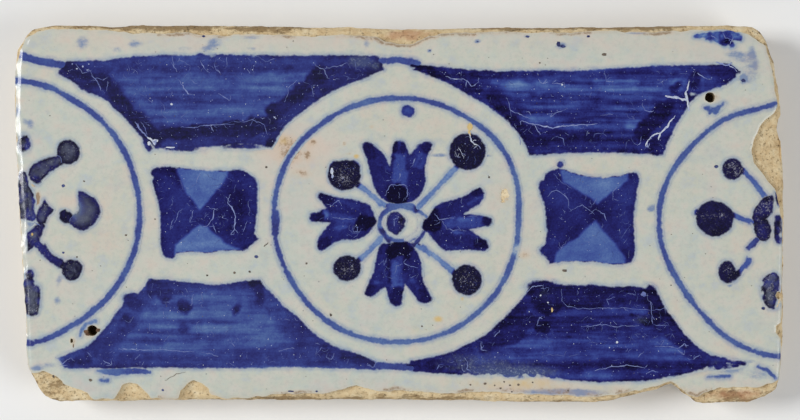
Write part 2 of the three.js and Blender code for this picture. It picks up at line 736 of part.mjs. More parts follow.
const squares = {
  left: {
    fromRings: LEFT_SQUARE_FROM_RINGS,
    fromFields: LEFT_SQUARE_FROM_FIELDS,
    raise: LEFT_SQUARE_RAISE,
    outline: [
      [-8.5, 2.3], [-9.3, 4.9], [-9, 5.7], [-9.6, 6.5], [-8.5, 7.4], [-5.2, 7.3], [0, 6.9], [4.1, 6.8],
      [5, 7.1], [6.5, 6.7], [8.2, 5.6], [8.6, 4], [8.4, -2], [8.2, -4], [8.8, -4.8], [7.6, -5.7],
      [6.3, -6.7], [4.5, -6.6], [0, -7.1], [-5.3, -7.1], [-5.6, -8], [-6.3, -8.2], [-7.5, -7.6],
      [-7.8, -5.6], [-7.8, -2.6],
    ],
    lights: [
      [[-5.2, 12], [-5.1, 7], [-4.1, 4], [-1.2, 0.2], [0.9, 2.4], [3.4, 5.9], [4, 12]],
      [[-5.8, -12], [-5.3, -5.8], [-2.6, -3.3], [-1.1, -2.4], [0.2, -2.8], [3, -5.4], [6, -6.7], [6, -12]],
    ],
  },
  right: {
    fromRings: RIGHT_SQUARE_FROM_RINGS,
    fromFields: RIGHT_SQUARE_FROM_FIELDS,
    raise: RIGHT_SQUARE_RAISE,
    outline: [
      [-7.9, 2.8], [-8.6, 4.6], [-8.6, 5.7], [-7.9, 6.3], [-7.5, 7.6], [-5.5, 8.4], [-3.2, 7.7], [0, 7],
      [4.7, 7], [6.8, 7.7], [7.9, 7.6], [8.4, 6.6], [8, 4.4], [7.5, 1], [7.5, -3.5], [7.6, -6.3],
      [6.9, -7.5], [3.7, -7.9], [0.4, -7.4], [-4.5, -7.4], [-6.9, -7.8], [-7.4, -6.8], [-8.4, -6],
      [-8.2, -4.9], [-7.5, -4.2], [-7.5, 0],
    ],
    lights: [
      [
        [-5.8, 12], [-4.8, 6.2], [-3, 5.2], [-0.6, 3.9], [1.3, 2.5], [3, 3.8], [5, 5.2], [6.5, 6.6],
        [6.8, 12],
      ],
      [
        [-7.1, -12], [-5.9, -6], [-3.4, -4.1], [-2, -3.2], [1, -0.2], [1.9, -1.9], [4.3, -4.6], [6, -6.9],
        [6, -12],
      ],
    ],
  },
};
const squareFleck = { at: [-5.1, 9.15], radii: [0.45, 0.5] };

function squarePlace(end) {
  const { fromRings, fromFields, raise } = squares[end];
  const side = end === 'left' ? -1 : 1;
  const innerEdge = roundels.centre.x + side * (roundels.centre.radius + RING_LINE_WIDTH / 2);
  const outerEdge = roundels[end].x - side * (roundels[end].radius + RING_LINE_WIDTH / 2);
  const [above, below] = fields.filter((field) => field.end === end).map((field) => field.innerLine);
  const width = Math.abs(outerEdge - innerEdge) - 2 * fromRings;
  const height = above + below - 2 * fromFields;
  return {
    x: (innerEdge + outerEdge) / 2,
    y: (above - below) / 2 + raise,
    scale: width / drawnFor.squareWidth,
    scaleY: height / drawnFor.squareHeight,
  };
}

function addSquares() {
  for (const [end, { outline, lights }] of Object.entries(squares)) {
    const place = squarePlace(end);
    const square = coat(smoothLoop(put(outline, place)));
    patch(`square_${end}`, square, 'wash');
    const lightPlaces = lights.map((light) => paintTool(put(light, place)));
    shade(`square_${end}_shade`, square.paint.translate([0, 0, WASH_THICKNESS]), lightPlaces);
  }
  const { at, radii } = squareFleck;
  const fleck = put(ellipse(...at, ...radii, FLECK_SIDES), squarePlace('right'));
  patch('fleck_above_square', coat(fleck), 'dark', { clearOf: ['square_right'] });
}

// Rosette in the middle: a hub ring round an eye, four tulips, and a stalked berry between them

const tulips = {
  north: [
    [-1.5, 3.2], [-3.3, 4.8], [-4.2, 7.2], [-4.9, 10.3], [-5.8, 12.8], [-4.9, 13.2], [-3.5, 12.4],
    [-2.1, 10.9], [-1.1, 9.2], [-0.6, 12.7], [0.1, 13.4], [1.3, 13.1], [2.2, 10.9], [3.6, 12.6],
    [5, 13.3], [6, 12.8], [5.2, 10.9], [4.8, 8.9], [4.8, 6.6], [4.2, 4.7], [2.7, 3.2],
  ],
  south: [
    [-2.4, -4.1], [0.4, -3.9], [2.4, -4.3], [3.5, -5.5], [4.1, -7.2], [4.4, -10.1], [5.9, -13.4],
    [5, -14], [3.5, -13.4], [1.4, -10.6], [0.9, -14], [0, -14.5], [-1, -13.8], [-1.8, -11.3], [-3, -12],
    [-4.2, -12.9], [-5.3, -12.5], [-4.6, -10.7], [-3.7, -8.5], [-3.2, -5.6],
  ],
  east: [
    [4.6, -0.8], [5.4, 0.6], [6.6, 2.4], [8.9, 3.2], [11.4, 4], [14, 5.5], [14.8, 4.6], [14, 2.9],
    [11.4, 1], [15.9, 0.4], [16.1, -0.5], [12.2, -1.5], [15.1, -3.5], [15.5, -4.6], [14.6, -5.2],
    [12.2, -4.9], [8.3, -5.1], [6.9, -3.8], [5.3, -2.2],
  ],
  west: [
    [-3.7, -0.4], [-4.1, 1.6], [-4.9, 2.7], [-8.1, 3.5], [-10.3, 3.8], [-13, 4.7], [-13.3, 3.8], [-11.6, 2],
    [-14.5, 1.1], [-14.5, -0.2], [-11.2, -0.4], [-13.1, -2.9], [-13.4, -4.5], [-12.6, -5.1], [-10.6, -3.7],
    [-8.9, -3.2], [-6.6, -3.1], [-4.7, -2.1],
  ],
};
const berries = {
  north_west: { at: [-8.85, 7.6], radii: [2.75, 2.5], stalk: [[-8, 7], [-5.3, 5.2], [-2.4, 2.6]] },
  north_east: { at: [12, 11.6], radii: [3.05, 3.1], stalk: [[10.3, 9.2], [8.1, 6.8], [3.8, 2.3]] },
  south_west: { at: [-8.35, -8.1], radii: [2.35, 2.1], stalk: [[-7.6, -7.7], [-5.2, -5.8], [-2.6, -3.2]] },
  south_east: { at: [11.9, -10.1], radii: [2.45, 2.5], stalk: [[10.4, -9.4], [7, -6.5], [4.2, -4.3]] },
};
const hub = { at: [0.7, -0.6], radii: [3.6, 2.95], line: 0.75 };
const eye = { at: [-0.2, -0.4], radii: [1.5, 1.7] };
const rosetteFleck = { at: [2, 18.4], radii: [1.1, 0.95] };
const STALK_WIDTH = 0.85;

function stalkedBerry({ at, radii, stalk, stalkWidth = STALK_WIDTH }, place) {
  const berry = put(ellipse(...at, ...radii, BERRY_SIDES), place);
  return coat(berry, stroke(put(stalk, place), stalkWidth * place.scale));
}

function hubOutline(offset) {
  const radii = hub.radii.map((radius) => radius + offset);
  return put(ellipse(...hub.at, ...radii, HUB_SIDES), roundels.centre);
}

function addRosette() {
  const place = roundels.centre;
  const room = roomInside(rings.centre);
  closedLine('rosette_hub', hubOutline(hub.line / 2), hubOutline(-hub.line / 2));
  patch('rosette_eye', coat(put(ellipse(...eye.at, ...eye.radii, BERRY_SIDES), place)), 'dark');

  const painted = ['rosette_hub'];
  for (const [name, points] of Object.entries(tulips)) {
    const clearOf = [...painted];
    patch(`tulip_${name}`, coat(smoothLoop(put(points, place))), 'dark', { clearOf, room });
    painted.push(`tulip_${name}`);
  }
  for (const [name, berry] of Object.entries(berries)) {
    patch(`berry_${name}`, stalkedBerry(berry, place), 'dark', { clearOf: painted, room });
  }
  const { at, radii } = rosetteFleck;
  patch('fleck_above_rosette', coat(put(ellipse(...at, ...radii, FLECK_SIDES), place)), 'line', { room });
}

// Half rosettes at the ends, drawn round the axis of the half roundel

const leftMotifs = {
  left_edge_fleck: [[2.3, 13.1], [3.1, 13.4], [3.6, 12.4], [3.4, 11.1], [2.4, 10.9]],
  left_bar: [
    [3.3, 6.6], [3.7, 7.9], [5.2, 8.8], [7.2, 9.7], [8, 9.9], [8.5, 9.2], [8.4, 8.3], [6.8, 7], [5.8, 5.9],
    [5.1, 5.2], [4.2, 5.5],
  ],
  left_edge_leaf_upper: [
    [1.6, 6], [2.6, 5.6], [3.4, 4.6], [4.2, 3.4], [4.3, 1.2], [4, -0.6], [3.3, -0.8], [2.6, 1], [1.6, 2.4],
  ],
  left_leaf: [
    [6.1, 2.4], [6.8, 1.5], [7.7, 0.8], [6.8, -0.2], [6.2, -1.4], [5.4, -1.6], [4.8, -0.6], [5, 0.6],
    [5.6, 1.4],
  ],
  left_heart: [
    [4.5, -2.2], [5.6, -2.4], [5.7, -3.4], [5, -4.3], [4.4, -5.2], [3.6, -6], [2.8, -6.7], [2.6, -5.2],
    [3.3, -3.2],
  ],
  left_seed: [[9.6, 0.8], [8.8, 0.5], [8.7, -0.5], [9.4, -1.2], [10.1, -0.9], [10.3, 0.2]],
  left_crescent: [
    [11.9, 3.8], [13.4, 3.3], [15.1, 1.9], [15.4, 0.6], [14.6, -1.5], [12.8, -2.7], [11.6, -2.5],
    [10.6, -1.5], [10.9, -0.4], [12, 0.9],
  ],
  left_edge_leaf_lower: [
    [1.6, -11.6], [2.5, -10.2], [3.5, -9.6], [4.1, -10.4], [4.3, -11.8], [5, -13], [4.6, -15], [3.6, -17.2],
    [2.6, -15.4], [1.8, -13.6],
  ],
};
const rightMotifs = {
  right_petal: [
    [-2.2, 5.3], [-3.4, 5], [-4.4, 4], [-5.3, 2.8], [-5.5, 0.7], [-4.9, -1.4], [-3.8, -2.3], [-2.7, -1.8],
    [-2.6, 0.5], [-3.3, 1.3], [-2.4, 2.4], [-2.1, 3.9],
  ],
  right_edge_leaf_middle: [[-1.5, 1.7], [-1.8, -0.6], [-1.3, -2.6], [-0.5, -2.4], [-0.3, 0.2], [-0.7, 1.9]],
  right_edge_leaf_lower: [
    [-2.9, -8.4], [-4, -10], [-3.7, -12.2], [-2.7, -13.6], [-1.3, -13.4], [-0.8, -10.8], [-1.3, -8.7],
  ],
};

const leftUpperBerry = { at: [10.1, 10.5], radii: [1.9, 2.05] };
const leftLowerBerry = {
  at: [10.8, -9.35],
  radii: [1.65, 1.75],
  stalk: [[5.7, -5.4], [6.8, -6.9], [9.8, -8.9]],
  stalkWidth: 1.25,
};
const rightBerries = {
  upper: { at: [-8.9, 9.8], radii: [1.7, 1.75], stalk: [[-7.8, 10.3], [-5.1, 7.4], [-3.2, 5]] },
  middle: { at: [-11.9, 1.5], radii: [3.15, 3], stalk: [[-9, 2.2], [-7.1, 1.4], [-5, 0.4]] },
  lower: { at: [-9.8, -7.5], radii: [1.45, 1.85], stalk: [[-6.1, -5.2], [-7.2, -6.8], [-8.9, -8.7]] },
};
const rightStroke = { path: [[-6.4, -3.7], [-5.3, -2.7]], width: 0.85 };

function addEndRosettes() {
  const { left, right } = roundels;
  const leftRoom = roomInside(rings.left);
  for (const [name, points] of Object.entries(leftMotifs)) {
    patch(name, coat(smoothLoop(put(points, left))), 'dark', { room: leftRoom });
  }
  const upperBerry = put(ellipse(...leftUpperBerry.at, ...leftUpperBerry.radii, BERRY_SIDES), left);
  patch('left_berry_upper', coat(upperBerry), 'dark', { clearOf: ['left_bar'], room: leftRoom });
  const lowerBerry = stalkedBerry(leftLowerBerry, left);
  patch('left_berry_lower', lowerBerry, 'dark', { clearOf: ['left_heart'], room: leftRoom });

  const beside = { clearOf: ['right_petal'], room: roomInside(rings.right) };
  for (const [name, points] of Object.entries(rightMotifs)) {
    patch(name, coat(smoothLoop(put(points, right))), 'dark', { room: beside.room });
  }
  for (const [name, berry] of Object.entries(rightBerries)) {
    patch(`right_berry_${name}`, stalkedBerry(berry, right), 'dark', beside);
  }
  patch('right_stroke', coat(stroke(put(rightStroke.path, right), rightStroke.width)), 'line', beside);
}

// Stray marks of the brush: one between each half ring and its nail hole, and two at the edge

const nailMarks = {
  upper: { roundel: roundels.right, fromRing: 2.3, angles: [116.5, 119, 121.5, 124], width: 0.7 },
  lower: { roundel: roundels.left, fromRing: 0.42, angles: [-49, -52, -55.5, -59], width: 0.25 },
};
const strayStroke = { path: [[15, 5.1], [19.2, 5.2], [23.1, 5.1]], width: 0.65 };
const cornerSmear = [[15.2, 1.5], [9, 1.2], [7.4, 1.9], [8.3, 3.1], [9.2, 3.7], [12.2, 2.7]];

function addStrayMarks() {
  for (const [name, { roundel, fromRing, angles, width }] of Object.entries(nailMarks)) {
    const path = angles.map((angle) => aroundRing(roundel, fromRing, angle));
    patch(`nail_mark_${name}`, coat(stroke(path, width)), 'line');
  }
  const strayPath = strayStroke.path.map(edgeMaps.bottomLeft);
  patch('stray_stroke', coat(stroke(strayPath, strayStroke.width)), 'line', {
    clearOf: ['field_bottom_left'],
  });
  patch('corner_smear', coat(smoothLoop(cornerSmear.map(edgeMaps.topRight))), 'wash', {
    clearOf: ['field_top_right'],
  });
}

addPart('clay_body', clayBody(), 'clay');
addPart('tin_glaze', tinGlaze(), 'glaze');
addRings();
addFields();
addTies();
addSquares();
addRosette();
addEndRosettes();
addStrayMarks();

export default object;
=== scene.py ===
import math

import bpy
import numpy as np
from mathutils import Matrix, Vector
from mathutils.geometry import delaunay_2d_cdt


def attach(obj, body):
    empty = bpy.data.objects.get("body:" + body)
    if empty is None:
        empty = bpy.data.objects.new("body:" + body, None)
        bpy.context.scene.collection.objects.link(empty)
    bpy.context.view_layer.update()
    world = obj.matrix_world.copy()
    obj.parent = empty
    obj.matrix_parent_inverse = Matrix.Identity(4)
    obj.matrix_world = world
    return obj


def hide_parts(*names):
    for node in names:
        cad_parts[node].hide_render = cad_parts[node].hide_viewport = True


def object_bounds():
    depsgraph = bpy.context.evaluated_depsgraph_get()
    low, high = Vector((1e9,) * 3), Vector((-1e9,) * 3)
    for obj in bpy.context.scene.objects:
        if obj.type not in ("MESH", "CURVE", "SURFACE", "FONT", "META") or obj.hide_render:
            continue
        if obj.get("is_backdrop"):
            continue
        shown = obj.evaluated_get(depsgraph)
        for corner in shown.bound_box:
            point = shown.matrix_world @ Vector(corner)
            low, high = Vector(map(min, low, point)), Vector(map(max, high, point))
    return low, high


# Border tile in the view of its photograph: the clay slab, the skin of tin glaze on it and the
# cobalt pigment sunk in the glaze. The tile's lengths are in millimetres until its meshes are made.

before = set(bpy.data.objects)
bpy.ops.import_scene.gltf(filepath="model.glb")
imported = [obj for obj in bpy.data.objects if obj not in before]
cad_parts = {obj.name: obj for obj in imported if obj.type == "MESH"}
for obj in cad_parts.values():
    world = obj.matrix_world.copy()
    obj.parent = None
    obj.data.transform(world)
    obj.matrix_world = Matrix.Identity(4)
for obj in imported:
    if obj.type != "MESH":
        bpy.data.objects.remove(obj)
cad_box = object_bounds()

# Heights above the back, and how far the paint and the marks stand above and reach below the glaze
GLAZE_TOP = 10.2
CLAY_TOP = 9.55
PAINT_UNDERSIDE = 9.65
GLAZE_UNDERSIDE = 9.42
PAINT_LIFT = 0.03
MARK_LIFT = 0.05
MARK_DEPTH = 0.1
# The slab's sides: the heights where they are set out, and how far in the foot lies
SIDE_HEIGHTS = [8.1, 7.3, 6.4, 5.5, 4.6, 3.7, 2.8, 1.9, 1.1, 0.5]
FOOT_TOP = 0.6
UNDERCUT = 0.9
FOOT_ARRIS = 0.45
# The rolled edge and the lip of the glaze, and the left end where it is worn
ROLL_WIDTH = 1.15
ROLL_DROP = 0.5
LIP_WIDTH = 0.6
LIP_DROP = 0.16
WORN_FROM = -62.2
WORN_TO = -63.2
# The clay beside the glaze: how it falls away, the arris at its edge and the depth of the nail holes
BREAK_SLOPE = 0.42
ARRIS_WIDTH = 0.45
ARRIS_DROP = 0.4
BORE_DEPTH = 1.7
# How far the paint keeps from the edges of the glaze and the tile and from the nail holes
GLAZE_CLEAR = 0.03
TILE_CLEAR = 0.1
HOLE_CLEAR = 0.05
# A distance beyond any that counts, and the margin round a patch in which it is worked out
FAR = 9.0
PATCH_MARGIN = 1.6
# Spacing of the grids that the bodies are cut from, and of the points that give a slope
FIELD_STEP = 0.3
CLAY_STEP = 0.42
GLAZE_STEP = 0.32
PAINT_STEP = 0.2
SLOPE_REACH = 0.4
# Width of thin pigment outside a patch's outline
FRINGE = 0.4
# Craze lines: the steps and the number per square millimetre of the seeded ones, and the palest tone
CRAZE_STEP = 0.45
CRAZE_DENSITY = 0.3
PALEST = 0.92
# Specks in the glaze, the measured ones and the seeded ones together
SPECK_COUNT = 170
rng = np.random.default_rng(17)

# Outlines measured on the tile, clockwise from the upper left corner

TILE_EDGE = [
    (-65.1, 25.4), (-64.7, 28.1), (-63.9, 29.1), (-63, 30.5), (-61.9, 31.4), (-60.1, 31.8), (-58.6, 32),
    (-53.8, 31.95), (-50.3, 31.8), (-48.6, 31.7), (-45, 32), (-32, 32), (-25, 31.9), (-8.6, 31.7), (0, 31.4),
    (6.3, 31.4), (15.7, 31.6), (32, 31.65), (47, 31.9), (52.9, 32), (59.9, 31.9), (61.2, 31.15),
    (62.1, 29.7), (62.7, 27.9), (63.5, 25.9), (63.9, 23.2), (64.5, 19.9), (64.7, 17.7), (64.8, 17),
    (64.4, 16), (64.25, 14.3), (64.7, 13), (65.1, 11.9), (65.2, 9), (65.2, -2), (65, -15), (65, -20.7),
    (64.8, -22.9), (64.8, -25.5), (64.5, -27.7), (64, -29.5), (63, -30.3), (61, -31.2), (59.2, -31.8),
    (51.6, -32), (50.3, -31.7), (49.4, -31), (48.1, -30.3), (47, -29.25), (46.2, -28.6), (45.1, -29),
    (43.8, -29.7), (40.7, -30.3), (37.7, -31), (36.8, -31.4), (35.3, -31.6), (32, -31.75), (20.5, -31.8),
    (11, -31.5), (-2, -31.4), (-25, -31.4), (-40, -31.4), (-45, -31.6), (-57.5, -31.6), (-59.2, -31.3),
    (-60.3, -30.7), (-61.2, -29.2), (-62, -27.5), (-63, -25.6), (-63.2, -20), (-63.5, -15.5), (-63.9, -9),
    (-64.2, -3), (-64.4, 2), (-64.6, 4.7), (-64.9, 10), (-65.1, 16), (-65.2, 18.8),
]
GLAZE_EDGE = [
    (-64.9, 25), (-64.6, 26), (-64.3, 27.2), (-63.3, 29.6), (-61, 30.9), (-58.5, 31.4), (-52, 31.2),
    (-48, 31), (-44, 30.6), (-36, 30.7), (-30, 30.3), (-22, 30.5), (-14, 30.1), (-8, 30.4), (-5.5, 30.4),
    (-3.5, 30), (-2.5, 29.2), (0, 28.9), (2.3, 28.9), (3.5, 29.4), (5, 30.2), (8, 30.6), (14, 30.9),
    (22, 30.7), (32, 31), (44, 30.8), (50, 31.1), (55, 31.2), (58.5, 30.7), (60.5, 29.6), (62, 28.2),
    (62.8, 26), (63.3, 23), (63.8, 20), (64.1, 18.2), (63.4, 16.9), (62.1, 16), (60.8, 14.5), (60, 12.3),
    (59.7, 10.3), (60.1, 8.6), (61.2, 7.1), (62.5, 5.5), (63.6, 4.4), (64, 2.5), (64.5, 1), (64.9, -1),
    (64.8, -10), (64.8, -18.2), (63.8, -18.8), (63.9, -20), (64.7, -21), (64.7, -24), (64.3, -27.9),
    (62.5, -28.8), (60, -29.2), (57, -29.2), (53.5, -29.5), (51.5, -30.1), (50.4, -30.9), (48.9, -30.6),
    (47.2, -29), (46.2, -28.2), (45, -28.4), (43.5, -29), (40.5, -29.6), (37.5, -30.2), (35, -30.8),
    (32, -30.9), (27, -30.5), (20, -30.3), (14, -29.9), (8, -30.2), (1, -29.8), (-3.5, -29.9), (-5, -29.4),
    (-7, -28.9), (-8.6, -29.3), (-12, -30.2), (-18, -30.3), (-22, -30.6), (-25, -31), (-30, -31.1),
    (-32, -30.2), (-32.2, -29.5), (-33.4, -28.6), (-34.7, -28.1), (-35.8, -28.6), (-36.8, -29.8),
    (-37.2, -31.2), (-39.5, -31.3), (-41.8, -31), (-43, -30), (-44.3, -28.6), (-45.5, -28.4), (-46.7, -28.8),
    (-48.2, -31.2), (-51.6, -31.3), (-52.7, -30.1), (-54.6, -29.5), (-56.4, -28.9), (-57.5, -27.8),
    (-59.2, -26.8), (-60.1, -26.4), (-60.9, -26.8), (-62.2, -26.8), (-62.8, -26.1), (-62.9, -20),
    (-63.2, -15.5), (-63.6, -9), (-63.9, -3), (-64.1, 2), (-64.3, 4.7), (-64.6, 10), (-64.8, 16),
    (-64.9, 18.8),
]
NAIL_HOLES = [(52.6, 19.75, 0.88), (-51.85, -19.65, 0.9)]
CLAY_PITS = [(64.2, -13.7, 0.45, 0.7), (-55.3, -21.35, 0.24, 0.42)]


# Noise and distance fields


def lattice(ix, iy, seed):
    """A value from -1 to 1 that looks random and is always the same for the same point and seed."""
    bits = (ix * 374761393 + iy * 668265263 + seed * 974634777) & 0xFFFFFFFF
    bits = ((bits ^ (bits >> 13)) * 1274126177) & 0xFFFFFFFF
    return ((bits ^ (bits >> 16)) & 0xFFFF) / 32767.5 - 1


def between(at, i, j, fu, fv):
    """Value inside a grid cell, from the values at its four corners."""
    low = at(i, j) * (1 - fu) + at(i + 1, j) * fu
    high = at(i, j + 1) * (1 - fu) + at(i + 1, j + 1) * fu
    return low * (1 - fv) + high * fv


def noise(x, y, size, seed, octaves=3):
    """Smooth noise from about -1 to 1, with features of the given size in mm."""
    total = np.zeros(np.broadcast(x, y).shape)
    weight = 1.0
    for octave in range(octaves):
        u = np.asarray(x) / size * 2**octave + 31.7 * seed
        v = np.asarray(y) / size * 2**octave - 17.3 * seed
        iu, iv = np.floor(u).astype(np.int64), np.floor(v).astype(np.int64)
        fu, fv = u - iu, v - iv
        fu, fv = fu * fu * (3 - 2 * fu), fv * fv * (3 - 2 * fv)
        total += weight * between(lambda i, j: lattice(i, j, seed), iu, iv, fu, fv)
        weight *= 0.5
    return total * 1.1


def smooth(low, high, value):
    t = np.clip((value - low) / (high - low), 0, 1)
    return t * t * (3 - 2 * t)


def segments_of(outline):
    return list(zip(outline, outline[1:] + outline[:1]))


def from_segment(x, y, ax, ay, bx, by):
    """Share of a segment up to the point nearest to a place, and the way from that point to it."""
    dx, dy = bx - ax, by - ay
    t = np.clip(((x - ax) * dx + (y - ay) * dy) / (dx * dx + dy * dy + 1e-12), 0, 1)
    return t, x - ax - t * dx, y - ay - t * dy


def distance(segments, x, y, parity=None):
    """Distance in mm to an outline given as segments, positive inside it. A point is inside if two
    of three rays from it say so, so that a hairline gap in an outline does no harm."""
    best = np.full(x.shape, 1e9)
    right, left, up = (np.zeros(x.shape, bool) for _ in range(3))
    for a, b in segments:
        _, gap_x, gap_y = from_segment(x, y, *a, *b)
        best = np.minimum(best, gap_x**2 + gap_y**2)
    for (ax, ay), (bx, by) in segments if parity is None else parity:
        if ay != by:
            spans = (ay > y) != (by > y)
            at = ax + (y - ay) * (bx - ax) / (by - ay)
            right ^= spans & (x < at)
            left ^= spans & (x > at)
        if ax != bx:
            up ^= ((ax > x) != (bx > x)) & (y < ay + (x - ax) * (by - ay) / (bx - ax))
    inside = (right & left) | (right & up) | (left & up)
    return np.sqrt(best) * np.where(inside, 1, -1)


def capsule(x, y, ax, ay, bx, by, start, end):
    """Distance field of a stroke from a to b whose width runs from start to end."""
    t, gap_x, gap_y = from_segment(x, y, ax, ay, bx, by)
    return (start + (end - start) * t) / 2 - np.hypot(gap_x, gap_y)


def oval(x, y, cx, cy, rx, ry):
    return (1 - np.hypot((x - cx) / rx, (y - cy) / ry)) * min(rx, ry)


def spot(x, y, *size):
    """Distance field of an oval, given four numbers, or of a stroke, given six."""
    return oval(x, y, *size) if len(size) == 4 else capsule(x, y, *size)


class Sampled:
    """A field kept on a fine grid over the whole tile and read between its points."""

    def __init__(self, low, high, step, function):
        self.low, self.step = low, step
        xs = np.arange(low[0], high[0], step)
        ys = np.arange(low[1], high[1], step)
        self.values = function(*np.meshgrid(xs, ys))

    def __call__(self, x, y):
        u = np.clip((x - self.low[0]) / self.step, 0, self.values.shape[1] - 1.001)
        v = np.clip((y - self.low[1]) / self.step, 0, self.values.shape[0] - 1.001)
        i, j = np.floor(u).astype(int), np.floor(v).astype(int)
        return between(lambda i, j: self.values[j, i], i, j, u - i, v - j)


def broken_glaze(x, y):
    field = distance(segments_of(GLAZE_EDGE), x, y)
    return field + 0.16 * noise(x, y, 1.6, 3) + 0.06 * noise(x, y, 0.6, 4, 2)


REACH = ((-67, -34), (67, 34))
tile_inside = Sampled(*REACH, FIELD_STEP, lambda x, y: distance(segments_of(TILE_EDGE), x, y))
glaze_inside = Sampled(*REACH, FIELD_STEP, broken_glaze)


def holes(x, y, clear=0.0):
    """Distance field that is positive outside the nail holes and the small clay pits."""
    field = np.full(np.broadcast(x, y).shape, FAR)
    for cx, cy, r in NAIL_HOLES:
        ragged = r + 0.07 * noise(x, y, 0.7, 9, 2)
        field = np.minimum(field, np.hypot(x - cx, y - cy) - ragged - clear)
    for cx, cy, rx, ry in CLAY_PITS:
        field = np.minimum(field, -oval(x, y, cx, cy, rx + clear, ry + clear) + 0.05 * noise(x, y, 0.5, 8, 1))
    return field


def glaze_z(x, y):
    """Height of the glazed face: nearly flat, rolling down at the ends and along the sides."""
    edge = np.clip(tile_inside(x, y), 0, ROLL_WIDTH) / ROLL_WIDTH
    lip = np.clip(glaze_inside(x, y), 0, LIP_WIDTH) / LIP_WIDTH
    roll = ROLL_DROP * (1 - np.sqrt(np.maximum(1 - (1 - edge) ** 2, 0))) + LIP_DROP * (1 - lip) ** 2
    worn = 0.32 + 0.14 * noise(x, y * 0.6, 1.3, 23, 3)
    chamfer = worn * np.clip(1.25 - tile_inside(x, y), 0, 1.3)
    roll = roll + (chamfer - roll) * smooth(WORN_FROM, WORN_TO, x)
    wave = 0.045 * noise(x, y, 15, 21, 2) + 0.01 * noise(x, y, 3.5, 22, 2)
    dish = 0.05 * np.exp(-np.clip(holes(x, y), 0, 3) / 0.35)
    return GLAZE_TOP - roll + wave * np.clip(tile_inside(x, y) / 4, 0, 1) - dish


def clay_z(x, y):
    """Height of the clay: level under the glaze, a broken slope outside it, an arris at the edge."""
    beyond = np.clip(-glaze_inside(x, y), 0, 8)
    rough = 0.13 * noise(x, y, 1.7, 31, 3) + 0.05 * noise(x, y, 0.6, 32, 2)
    z = CLAY_TOP - BREAK_SLOPE * beyond**0.9 + rough * np.clip(beyond / 0.4, 0, 1)
    z -= ARRIS_DROP * (1 - np.clip(tile_inside(x, y) / ARRIS_WIDTH, 0, 1)) ** 2
    for cx, cy, r in NAIL_HOLES:
        bore = r - 0.02 + 0.1 * noise(x, y, 0.8, 33, 2)
        z -= BORE_DEPTH * smooth(0.12, -0.12, np.hypot(x - cx, y - cy) - bore)
    return z


# Meshes from fields


def cap(points, edges):
    """Triangles, counter-clockwise, that fill the outline drawn by directed edges."""
    verts, _, faces, origin, _, _ = delaunay_2d_cdt([Vector(p) for p in points], edges, [], 0, 1e-7)
    output = {source: k for k, sources in enumerate(origin) for source in sources}
    drawn = {(output[a], output[b]) for a, b in edges}
    fixed = []
    for face in faces:
        (ax, ay), (bx, by), (cx, cy) = (verts[k] for k in face[:3])
        is_ccw = (bx - ax) * (cy - ay) - (by - ay) * (cx - ax) > 0
        fixed.append(tuple(face) if is_ccw else tuple(reversed(face)))
    sides = [tuple(zip(face, face[1:] + face[:1])) for face in fixed]
    owner = {side: k for k, three in enumerate(sides) for side in three}
    kept = {k for k, three in enumerate(sides) if any(side in drawn for side in three)}
    waiting = list(kept)
    while waiting:
        for a, b in sides[waiting.pop()]:
            other = owner.get((b, a))
            if other is None or other in kept or (a, b) in drawn or (b, a) in drawn:
                continue
            kept.add(other)
            waiting.append(other)
    source = [sources[0] if sources else None for sources in origin]
    triangles = [tuple(source[v] for v in fixed[k]) for k in kept]
    return [triangle for triangle in triangles if None not in triangle]


def solid_over(field, xs, ys, top, levels):
    """A closed body over the part of a grid where a field is positive: its top follows a height
    function, and its wall and underside go through the levels, functions of the edge points."""
    inside = field > 0
    index = np.full(field.shape, -1)
    index[inside] = np.arange(inside.sum())
    gx, gy = np.meshgrid(xs, ys)
    flat = list(zip(gx[inside].tolist(), gy[inside].tolist()))
    corners = [index[:-1, :-1], index[:-1, 1:], index[1:, 1:], index[1:, :-1]]
    count = sum((corner >= 0).astype(int) for corner in corners)
    full = count == 4
    faces = np.column_stack([corner[full] for corner in corners]).tolist()
    crossings = {}
    edges = []
    for j, i in np.argwhere((count > 0) & ~full).tolist():
        cell = ((j, i), (j, i + 1), (j + 1, i + 1), (j + 1, i))
        ring = []
        for k in range(4):
            p, q = cell[k], cell[(k + 1) % 4]
            if inside[p]:
                ring.append((int(index[p]), False))
            if inside[p] != inside[q]:
                a, b = min(p, q), max(p, q)
                if (a, b) not in crossings:
                    t = min(max(field[a] / (field[a] - field[b]), 0.08), 0.92)
                    crossings[a, b] = len(flat)
                    flat.append((xs[a[1]] + (xs[b[1]] - xs[a[1]]) * t, ys[a[0]] + (ys[b[0]] - ys[a[0]]) * t))
                ring.append((crossings[a, b], bool(inside[p])))
        faces.append([v for v, _ in ring])
        for k, (v, leaves) in enumerate(ring):
            if leaves:
                edges.append((v, ring[(k + 1) % len(ring)][0]))
    xy = np.array(flat)
    verts = [np.column_stack([xy, top(xy[:, 0], xy[:, 1])])]
    rim = sorted({v for edge in edges for v in edge})
    place = {v: k for k, v in enumerate(rim)}
    above = {v: v for v in rim}
    total = len(flat)
    for level in levels:
        verts.append(level(verts[0][rim]))
        below = {v: total + place[v] for v in rim}
        faces += [[above[b], above[a], below[a], below[b]] for a, b in edges]
        above = below
        total += len(rim)
    lowest = verts[-1][:, :2].tolist()
    triangles = cap(lowest, [(place[a], place[b]) for a, b in edges])
    faces += [[total - len(rim) + v for v in reversed(three)] for three in triangles]
    return np.vstack(verts), faces


def down_to(z):
    return lambda rim: np.column_stack([rim[:, :2], np.full(len(rim), z)])


